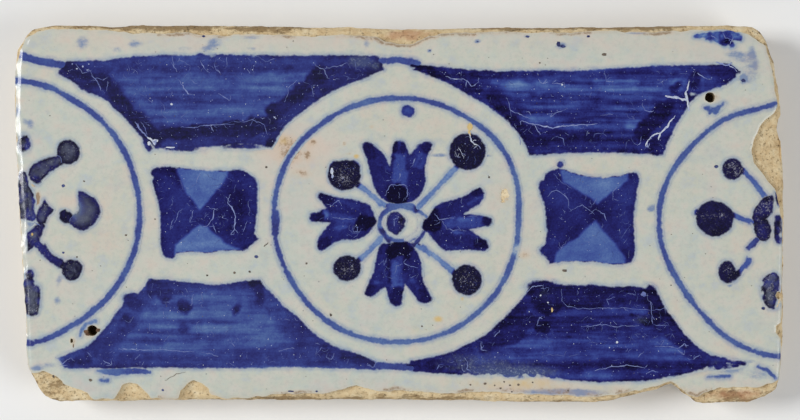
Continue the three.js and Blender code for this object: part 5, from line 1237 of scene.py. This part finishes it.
# Craze lines measured on the tile: each row is a width and the points of a line
CRAZE_LINES = {
    "field_top_left": [
        (0.16, -54.5, 25.6, -53.6, 23.9, -51.9, 24.2), (0.16, -52.4, 24.6, -51.2, 22.6, -50.4, 21.6),
        (0.14, -51.5, 23.2, -50, 22.6, -49, 23.2), (0.2, -49.1, 22.4, -49.2, 20.8),
        (0.16, -50.6, 22, -50.3, 20.8), (0.32, -44.6, 15.8, -43.9, 14.5, -42.9, 13.4, -41.8, 12.4),
        (0.16, -43.6, 15.6, -42.8, 14.5, -42.6, 13.4), (0.5, -42.6, 13.1, -41.5, 12.3, -41.2, 11.5),
        (0.18, -38.4, 26.8, -38.2, 25, -37.4, 24.2), (0.16, -37, 26.2, -35.4, 25.2),
        (0.26, -36.8, 22, -36, 21.2, -35.4, 20.4), (0.2, -30.6, 20.6, -28.6, 19.4),
        (0.16, -33.5, 26, -32.9, 24.6, -32, 23.8), (0.16, -30.8, 26.6, -31.2, 24.9, -30.3, 23.7),
        (0.16, -29.2, 26.8, -29, 25.2), (0.2, -36, 14.6, -33.2, 14.9, -31.4, 15.2, -27.8, 15.2),
        (0.18, -31.7, 15.2, -31.3, 14), (0.2, -27.8, 15.6, -25, 15.9, -22.6, 15.2, -22.2, 13.6),
        (0.18, -19, 19.6, -18.4, 21.8, -17.2, 22.6), (0.18, -14.5, 25.6, -12.6, 24.4, -12, 23),
        (0.16, -14.8, 21.6, -14.4, 20), (0.16, -12.6, 24.6, -10.4, 24.9, -8.6, 25.6),
        (0.14, -9.6, 23.6, -8.2, 23.1), (0.16, -24.2, 26.6, -22.4, 25.9, -20.8, 26.2),
        (0.14, -7.6, 26.2, -7.2, 24.6), (0.12, -35.2, 17.6, -36.8, 16.4),
    ],
    "field_top_right": [
        (0.66, 44.9, 20.1, 46.2, 19.9, 47.6, 19.6, 48.8, 19.2),
        (0.5, 49.1, 22.5, 48.5, 20.8, 48.7, 19.2, 49.1, 17.5),
        (0.46, 46.8, 16.8, 45.3, 14.9, 44.4, 13.9, 43.8, 12.6),
        (0.4, 44.6, 14, 42.7, 13.1, 41.9, 12.2, 41.8, 11.5),
        (0.28, 21, 15.9, 23.2, 15, 26, 14.7, 29, 15.1, 33.6, 15.3), (0.24, 23, 15, 23.8, 13.4),
        (0.24, 8, 23.2, 10.8, 22.8, 12.4, 21.7, 13.6, 22.2), (0.2, 11.2, 22.6, 11.4, 21.4),
        (0.2, 23.6, 23, 24.2, 22.2, 25, 22.8), (0.16, 24, 22.2, 25.4, 22.2), (0.2, 26, 22.2, 28, 22.2),
        (0.22, 18.4, 19.6, 18.8, 17.4, 20.4, 16.8, 22.4, 16.2), (0.2, 26.2, 17.2, 27.6, 17.6),
        (0.18, 25.6, 16.4, 26.8, 17.4), (0.18, 26.4, 13.2, 27.8, 12.8, 28, 11.6),
        (0.2, 20.4, 13.4, 20.6, 11.8), (0.18, 34.8, 24, 35.2, 22.6, 36.2, 22.2), (0.2, 41.6, 17.6, 43, 17.4),
        (0.2, 41, 12.2, 40.4, 11.5), (0.2, 50.6, 23.9, 52, 22.9), (0.36, 53.6, 25.8, 55.2, 25.2, 56.3, 25.6),
        (0.3, 55.6, 25.4, 57.2, 24.2), (0.16, 33, 13.6, 34.6, 13.8, 35.2, 13.2), (0.14, 34, 16.6, 36, 16.9),
    ],
    "field_bottom_left": [
        (0.16, -58.2, -24.2, -56.7, -25.2, -55.4, -24.3), (0.14, -57.4, -25.4, -55.8, -25.6),
        (0.18, -47.5, -22.8, -44, -22.9, -40, -22.9, -34.6, -23.2), (0.2, -50, -24.6, -48.6, -25.6),
        (0.18, -34.6, -13.4, -35.2, -15.6), (0.14, -28.2, -21.6, -27.8, -22.3),
        (0.14, -33, -14.6, -33.4, -13.2), (0.16, -31.8, -19.8, -31.4, -20.8),
        (0.18, -33.4, -23.4, -31.8, -23.6, -30.6, -24.1), (0.14, -42.6, -13.4, -41.4, -14.4),
        (0.16, -52.6, -23.2, -51.9, -24), (0.14, -13.9, -23.4, -12.8, -22.4),
        (0.18, -5.4, -25.4, -4.2, -25.9, -3.9, -24.9, -4.6, -24.4), (0.14, -19.6, -22.8, -17.6, -22.6),
        (0.14, -10.9, -23.4, -11.4, -24.4, -12.4, -24.2), (0.14, -44.8, -17.2, -45.4, -18.4),
    ],
    "field_bottom_right": [
        (0.16, 27.4, -12.6, 27.5, -14.6, 28.6, -15.7, 31, -16, 35, -15.9, 38, -15.8, 42.4, -16.2),
        (0.17, 30.8, -18.9, 34, -18.7, 37, -18.9, 40.6, -18.9), (0.2, 42.4, -14.8, 42.7, -17.2, 43, -18.6),
        (0.16, 42.4, -16.4, 44.8, -15.9), (0.16, 43, -18.7, 45.4, -18.7),
        (0.26, 43.4, -22.3, 46, -22.4, 47.6, -22.6), (0.24, 47.4, -22.4, 48.4, -21.8),
        (0.24, 47.2, -22.8, 48.2, -23.8), (0.2, 44.2, -22.2, 44.8, -21.2),
        (0.2, 33, -26.4, 36, -25.8, 38.6, -25.4, 41.4, -25.9), (0.18, 40.4, -24.2, 41.4, -23.2),
        (0.2, 49.6, -24.6, 51, -23.6), (0.18, 35.6, -15.4, 35.2, -14.4, 36.4, -13.9),
        (0.14, 38.6, -13.4, 40, -13.6), (0.2, 41.8, -27, 43, -26.4, 43.8, -26.8),
        (0.22, 23.2, -18.8, 23.8, -17.4, 24.2, -17.6), (0.16, 24, -12.6, 25.4, -12.4),
        (0.22, 13.9, -21.6, 14, -22.8, 14.9, -23), (0.18, 16, -20.6, 17.2, -19.6),
        (0.24, 11.6, -24.8, 11.4, -26, 12.2, -26.6), (0.18, 6.4, -26.2, 6.8, -25.4),
        (0.22, 21.5, -13.2, 22.6, -12.3, 24.4, -12.1), (0.12, 25, -23.8, 28, -23.9),
        (0.14, 28.6, -24, 30.4, -23.6),
    ],
    "square_left": [
        (0.3, -28.3, 3.6, -28.9, 2, -28.2, 1.2, -27.6, -0.3, -27.8, -2.5, -28.4, -3.6),
        (0.2, -31.1, 1, -31.4, -0.5, -32.2, -1.7, -33.2, -2.1), (0.2, -28.6, 2.2, -29.2, 2.9),
        (0.16, -37.8, -1.6, -37.4, 0.2, -36.6, 0.8), (0.14, -38.6, -2.6, -38.2, -0.6),
        (0.16, -35.2, -1.2, -34.6, 0.6), (0.16, -30.6, -3.2, -31.4, -1.6), (0.14, -25.6, 2.4, -25.2, 0.4),
        (0.14, -25.8, -1.2, -26.3, -2.9),
    ],
    "square_right": [
        (0.16, 26.2, 6.9, 27.4, 5.4, 29.4, 4.4), (0.18, 25.2, 3, 26.6, 4.3, 28.4, 3.1, 28.8, 1.4),
        (0.2, 29.6, 0.9, 31, 1.6, 32.4, 0.6), (0.16, 33.2, 0.8, 34.6, 0.2, 35, -1),
        (0.14, 37.4, 5.4, 36.2, 3.8, 36.2, 2.4), (0.14, 27.2, -5.9, 28.2, -4.4),
        (0.14, 38.7, -2.4, 37.6, -4), (0.16, 32.6, 1.6, 33.4, 2.6),
    ],
    "tulip_south": [
        (0.22, 0.66, -8.3, 2, -8.75, 3.3, -8.85), (0.2, -0.7, -10.1, -0.36, -8.8, 0.4, -8.5),
        (0.14, -2.5, -8.6, -2.1, -7.3), (0.12, 1.9, -10.9, 2.9, -10.2),
    ],
    "tulip_north": [
        (0.2, -2.3, 3.1, -1.8, 4.2, -1.5, 4.9, -0.2, 4.95, 0.9, 5, 1.5, 4.2, 1.45, 3.2, 1.2, 2.5),
        (0.14, -2.2, 5.8, -1.4, 6), (0.3, 0.1, 6.5, 0.1, 7), (0.2, 2.7, 9.4, 2.3, 8.5),
    ],
    "tulip_east": [
        (0.18, 5.9, 0.1, 6.9, -0.85, 9.3, -0.65), (0.16, 7.4, -1.2, 8, -2.5, 9.1, -2.8, 10.6, -2.7),
        (0.16, 10.4, 1.3, 11, 1.5), (0.12, 11.6, -0.3, 13.4, -0.6), (0.12, 10.2, -4.4, 10.5, -3.5),
    ],
    "tulip_west": [
        (0.16, -12.3, 1.75, -11.4, 1.6, -10.8, 2.1, -10.2, 2.4, -9.7, 1.3),
        (0.18, -11.2, -0.6, -9, -0.8, -7.2, -0.85),
        (0.16, -7.5, -1.9, -6.95, -2.2, -7.1, -2.9, -7.7, -3, -8.05, -2.5, -7.7, -2),
        (0.14, -8.6, -2.4, -7.9, -3.1, -7, -3.3, -6, -2.3), (0.12, -8, 0.9, -7.6, 1.2),
    ],
    "berry_north_east": [
        (0.34, 11.9, 13.6, 12.25, 12.8, 12.7, 12, 13.2, 11.7), (0.16, 12.5, 12.3, 13.1, 12.6),
        (0.12, 10, 11.5, 10.6, 10.4, 11.2, 9.4), (0.08, 9.9, 9.6, 10.3, 10.4), (0.1, 9.6, 10.6, 9.9, 9.8),
    ],
    "rosette_eye": [(0.24, -1, -0.95, -0.2, -0.75), (0.2, -0.85, -1, -0.85, -2.1)],
    "left_bar": [(0.12, -57.9, 9.9, -57.1, 9.4, -56.95, 8.6)],
    "left_crescent": [(0.12, -55.3, -0.3, -55.9, -1.2)],
    "left_leaf": [(0.2, -61.5, -1.2, -60.6, -2)],
    "corner_smear": [
        (0.22, 54.7, 30.6, 55.3, 29.8, 56.4, 29.4), (0.2, 56.3, 30.6, 56.4, 29.4, 55.9, 28.6),
        (0.18, 52.6, 30.3, 53.5, 29.9, 54.2, 29.4),
    ],
}
CRAZED = {
    "fields": ["field_top_left", "field_top_right", "field_bottom_left", "field_bottom_right"],
    "squares": ["square_left", "square_right"],
    "rosette": [
        "tulip_north", "tulip_south", "tulip_east", "tulip_west", "berry_north_east", "berry_north_west",
        "berry_south_west", "berry_south_east", "rosette_eye",
    ],
    "left": ["left_bar", "left_crescent", "left_leaf"],
    "smear": ["corner_smear"],
}
# Spots on the face, each a centre and two radii, and for a pop in the pigment also its paleness
POPS = {
    "fields": [
        (41.4, -13.5, 0.45, 0.42, 0.35), (25.2, -14.9, 0.14, 0.14, 1), (36.9, -21.6, 0.2, 0.2, 1),
        (35.6, -22.5, 0.12, 0.12, 0.8), (23.95, -13.7, 0.16, 0.16, 1), (27.6, 21.9, 0.16, 0.16, 1),
        (-38.4, 18.6, 0.2, 0.2, 0.95), (-21, 16.4, 0.15, 0.15, 0.95), (-20.8, 16.2, 0.1, 0.1, 0.9),
        (-41.1, 12.4, 0.42, 0.3, 0.95), (-42.2, 12, 0.25, 0.35, 0.85), (-38.6, 11.3, 0.9, 0.12, 0.9),
        (-54.4, 24.6, 0.16, 0.12, 0.8), (-53.4, 25, 0.14, 0.16, 0.8), (-52.6, 24.4, 0.16, 0.1, 0.8),
        (-55.2, 25.4, 0.1, 0.14, 0.7), (-52.4, 25.4, 0.12, 0.1, 0.7),
    ],
    "rosette": [
        (-11.3, 7.25, 0.26, 0.55, 0.9), (-11.2, 6.4, 0.2, 0.3, 0.8),
    ],
}
SPECKS = [
    (-52.1, -28, 0.28, 0.24), (-58.4, -27.4, 0.2, 0.2), (-27.8, -9.85, 0.22, 0.2), (-25.2, -9.7, 0.2, 0.2),
    (-32.4, -10.3, 0.18, 0.16), (-22.4, 8, 0.18, 0.18), (34.7, 27, 0.42, 0.26), (28, -9.5, 0.4, 0.22),
    (15.25, 6.3, 0.16, 0.19), (-11.5, -17, 0.2, 0.26), (-15.6, -8.3, 0.16, 0.16), (-53.2, 5.6, 0.16, 0.14),
    (-46.1, -3.5, 0.18, 0.16), (14.6, -28.6, 0.25, 0.2), (17.2, -29.4, 0.2, 0.16), (20.2, -28.8, 0.2, 0.2),
    (3.9, -18.9, 0.14, 0.14), (-41.2, -0.8, 0.12, 0.12), (23.8, 25.6, 0.14, 0.14), (46, -12, 0.12, 0.12),
    (-54.4, -7.2, 0.14, 0.14), (17.8, -28.3, 0.14, 0.14), (18.8, -28.9, 0.18, 0.14), (19.1, -30, 0.14, 0.12),
    (16.2, -28.9, 0.12, 0.14), (12.1, -28.8, 0.16, 0.16), (28.6, -29.8, 0.16, 0.16),
    (22.6, -28.4, 0.12, 0.12),
]
STAINS = [
    (-52.85, -19.85, 0.42, 0.34), (-50.85, -19.55, 0.36, 0.34), (-52.6, -20.3, 0.4, 0.2),
    (-55, -22.2, 0.1, 0.32),
]
COBALT_SPECKS = [
    (-39.9, -29.7, 0.2, 0.18), (-24.1, -7.15, 0.33, 0.24), (21.75, 30.05, 0.3, 0.2), (32, 30.1, 0.25, 0.2),
    (-56.7, 4.83, 0.28, 0.28), (-56.7, -6.48, 0.2, 0.2), (53.65, 8.1, 0.32, 0.3), (61.6, -15.9, 0.3, 0.26),
    (58.2, 22.6, 0.35, 0.3), (27, 28.8, 0.34, 0.42), (27.7, 28.4, 0.42, 0.28), (-33, 30.1, 0.3, 0.18),
    (-18.2, -29.9, 0.5, 0.14), (-13.9, -29.9, 0.2, 0.14), (5.25, 27.7, 0.12, 0.12), (13.3, 29.2, 0.14, 0.1),
]


def thin_body(*outlines, z):
    """Corners of a thin body: its outlines just above the paint, then the same ones in the glaze."""
    return np.vstack([
        np.column_stack([points, z + lift]) for lift in (MARK_LIFT, -MARK_DEPTH) for points in outlines
    ])


def ribbon(points, widths):
    """A thin line that tapers."""
    ahead = np.gradient(points, axis=0)
    ahead /= np.linalg.norm(ahead, axis=1)[:, None] + 1e-9
    side = np.column_stack([-ahead[:, 1], ahead[:, 0]]) * (np.asarray(widths)[:, None] / 2)
    verts = thin_body(points + side, points - side, z=glaze_z(points[:, 0], points[:, 1]))
    n = len(points)
    faces = []
    for k in range(n - 1):
        faces += [
            [n + k, n + k + 1, k + 1, k], [2 * n + k, 2 * n + k + 1, 3 * n + k + 1, 3 * n + k],
            [k, k + 1, 2 * n + k + 1, 2 * n + k], [n + k + 1, n + k, 3 * n + k, 3 * n + k + 1],
        ]
    return verts, faces + [[0, 2 * n, 3 * n, n], [n - 1, 2 * n - 1, 4 * n - 1, 3 * n - 1]]


def dot(cx, cy, rx, ry, sides=9):
    """A small irregular spot as a low closed body."""
    angles = np.linspace(0, 2 * math.pi, sides, endpoint=False)
    r = 1 + 0.22 * rng.uniform(-1, 1, sides)
    x, y = cx + rx * r * np.cos(angles), cy + ry * r * np.sin(angles)
    verts = thin_body(np.column_stack([x, y]), z=glaze_z(x, y))
    n = sides
    faces = [list(range(n)), list(range(2 * n - 1, n - 1, -1))]
    return verts, faces + [[k, n + k, n + (k + 1) % n, (k + 1) % n] for k in range(n)]


def add_marks(name, bodies, material, slot="tin_glaze", **attributes):
    """One piece of many small bodies."""
    faces, start = [], 0
    for verts, own in bodies:
        faces += [[start + v for v in face] for face in own]
        start += len(verts)
    verts = np.vstack([verts for verts, _ in bodies])
    add_piece(name, verts, faces, material, slot, smooth_below=30, **attributes)


def craze(points, width, steps=9):
    """A craze line through measured points, jagged and tapered at both ends."""
    points = np.asarray(points, float)
    along = np.linspace(0, len(points) - 1, steps * (len(points) - 1) + 1)
    x, y = (np.interp(along, range(len(points)), column) for column in points.T)
    x = x + 0.13 * noise(x, y, 1.1, 111) + 0.08 * noise(x, y, 0.4, 114, 2)
    y = y + 0.13 * noise(x, y, 1.1, 112) + 0.08 * noise(x, y, 0.4, 116, 2)
    taper = np.sqrt(np.clip(np.sin(np.linspace(0.05, 0.95, len(x)) * math.pi), 0, 1))
    return ribbon(np.column_stack([x, y]), 0.6 * width * taper * (1 + 0.45 * noise(x, y, 0.6, 113)))


def wandering(x, y, length):
    """Points of a seeded craze line that wanders away from a point."""
    heading = rng.uniform(0, 2 * math.pi)
    points = [(x, y)]
    for _ in range(max(2, int(length / CRAZE_STEP))):
        heading += rng.normal(0, 0.5)
        x, y = x + CRAZE_STEP * math.cos(heading), y + CRAZE_STEP * math.sin(heading)
        points.append((x, y))
    return points


def is_within(outline, points, clear):
    return distance(outline, *np.transpose(points)).min() > clear


def craze_lines(name, density):
    """The measured craze lines of a patch, their side branches and seeded ones between them, with
    their paleness."""
    outline = cad_outline(name)
    lines = []
    for width, *numbers in CRAZE_LINES.get(name, ()):
        points = np.reshape(numbers, (-1, 2))
        pale = PALEST
        if width < 0.4 and "berry" not in name:
            pale = min(PALEST, 0.3 + 1.5 * width) * rng.uniform(0.6, 1.0)
        lines.append((craze(points, width), pale))
        for _ in range(rng.integers(0, 3)):
            k = rng.integers(0, len(points))
            branch = wandering(*points[k], rng.uniform(0.5, 1.4))
            if is_within(outline, branch, 0.15):
                lines.append((craze(branch, 0.6 * width, 3), 0.8 * pale))
    corners = np.array([p for segment in outline for p in segment])
    low, high = corners.min(axis=0), corners.max(axis=0)
    area = np.prod(high - low)
    for _ in range(int(density * area)):
        x, y = rng.uniform(low, high)
        length, width = rng.gamma(1.5, 0.5) + 0.3, rng.uniform(0.05, 0.11)
        points = wandering(x, y, length)
        pale = 0.1 + 0.5 * rng.uniform() ** 1.8
        if noise(x, y, 4.0, 115) > -0.15 and is_within(outline, points, 0.15):
            lines.append((craze(points, width, 3), pale))
    for _ in range(int(2.2 * density * area)):
        place = rng.uniform(low, high)
        size = rng.uniform(0.04, 0.085)
        if is_within(outline, [place], 0.35):
            lines.append((dot(*place, size, size, sides=6), 0.15 + 0.8 * rng.uniform() ** 2))
    return lines


def add_crazing():
    for group, names in CRAZED.items():
        density = 0 if group == "left" else CRAZE_DENSITY
        lines = [line for name in names for line in craze_lines(name, density)]
        lines += [(dot(*place, sides=12), pale) for *place, pale in POPS.get(group, ())]
        pale = np.concatenate([np.full(len(body[0]), value) for body, value in lines])
        bodies = [body for body, _ in lines]
        add_marks(f"crazing_{group}", bodies, craze_material, "cobalt_wash", pale=pale)


def add_specks():
    bodies = [dot(*place) for place in SPECKS]
    while len(bodies) < SPECK_COUNT:
        x, y = rng.uniform((-63, -30), (64, 31))
        if glaze_inside(x, y) > 0.6 and noise(x, y, 9, 117) > -0.35:
            size = rng.uniform(0.035, 0.08)
            bodies.append(dot(x, y, size, size, sides=7))
    add_marks("iron_specks", bodies, speck_material)
    add_marks("rust_stains", [dot(*place, sides=12) for place in STAINS], stain_material)
    dark = [dot(*place, sides=12) for place in COBALT_SPECKS]
    add_marks("cobalt_specks", dark, cobalt_speck_material, "cobalt_dark")
    gold = [craze([(12.1, 15.2), (11.85, 14.0), (12.15, 13.2)], 0.5), dot(12.0, 14.8, 0.42, 0.62, sides=12),
            dot(25.9, -16.2, 0.17, 0.42), dot(-61.95, -3.35, 0.2, 0.24)]
    add_marks("amber_flaws", gold, amber_material)
    hairs = [
        craze([(-22.8, -5.3), (-22, -4.8)], 0.35), craze([(-39.5, -28), (-37.8, -27), (-36, -26.7)], 0.12),
    ]
    add_marks("hair_marks", hairs, speck_material)


build_clay()
build_glaze()
for patch in patches:
    lay_paint(patch)
add_crazing()
add_specks()


# Table, light and camera, set out in metres


def add_table():
    half = 1.5
    mesh = bpy.data.meshes.new("table")
    corners = [(-half, -half, 0), (half, -half, 0), (half, half, 0), (-half, half, 0)]
    mesh.from_pydata(corners, [], [(0, 1, 2, 3)])
    material, surface = new_material("table_white", 0.1)
    surface.inputs["Base Color"].default_value = linear(240, 240, 238)
    surface.inputs["Roughness"].default_value = 0.9
    mesh.materials.append(material)
    table = add_object("table", mesh)
    table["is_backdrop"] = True


def add_lamp(name, place, size, power):
    data = bpy.data.lights.new(name, "AREA")
    data.shape = "DISK"
    data.size = size
    data.energy = power
    lamp = add_object(name, data)
    lamp.location = place
    lamp.rotation_euler = (-Vector(place)).to_track_quat("-Z", "Y").to_euler()


def add_world():
    world = bpy.data.worlds.new("studio")
    bpy.context.scene.world = world
    world.use_nodes = True
    background = world.node_tree.nodes["Background"]
    background.inputs["Color"].default_value = (0.9, 0.93, 1.0, 1)
    background.inputs["Strength"].default_value = 0.32


def add_camera():
    data = bpy.data.cameras.new("camera")
    data.sensor_width = 36
    data.lens = 100
    data.clip_start = 0.02
    camera = add_object("camera", data)
    camera.location = (0.0002, 0.000735, 0.3858)
    bpy.context.scene.camera = camera


add_table()
add_lamp("key", (-0.78, 0.14, 0.78), 0.42, 7.6)
add_lamp("fill", (0.8, -0.3, 0.7), 0.7, 4.4)
add_world()
add_camera()
bpy.context.scene.view_settings.view_transform = "Standard"


def as_lists(value):
    if isinstance(value, (int, float)):
        return float(value)
    return [as_lists(item) for item in value]


{"cad": as_lists(cad_box), "visual": as_lists(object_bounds())}
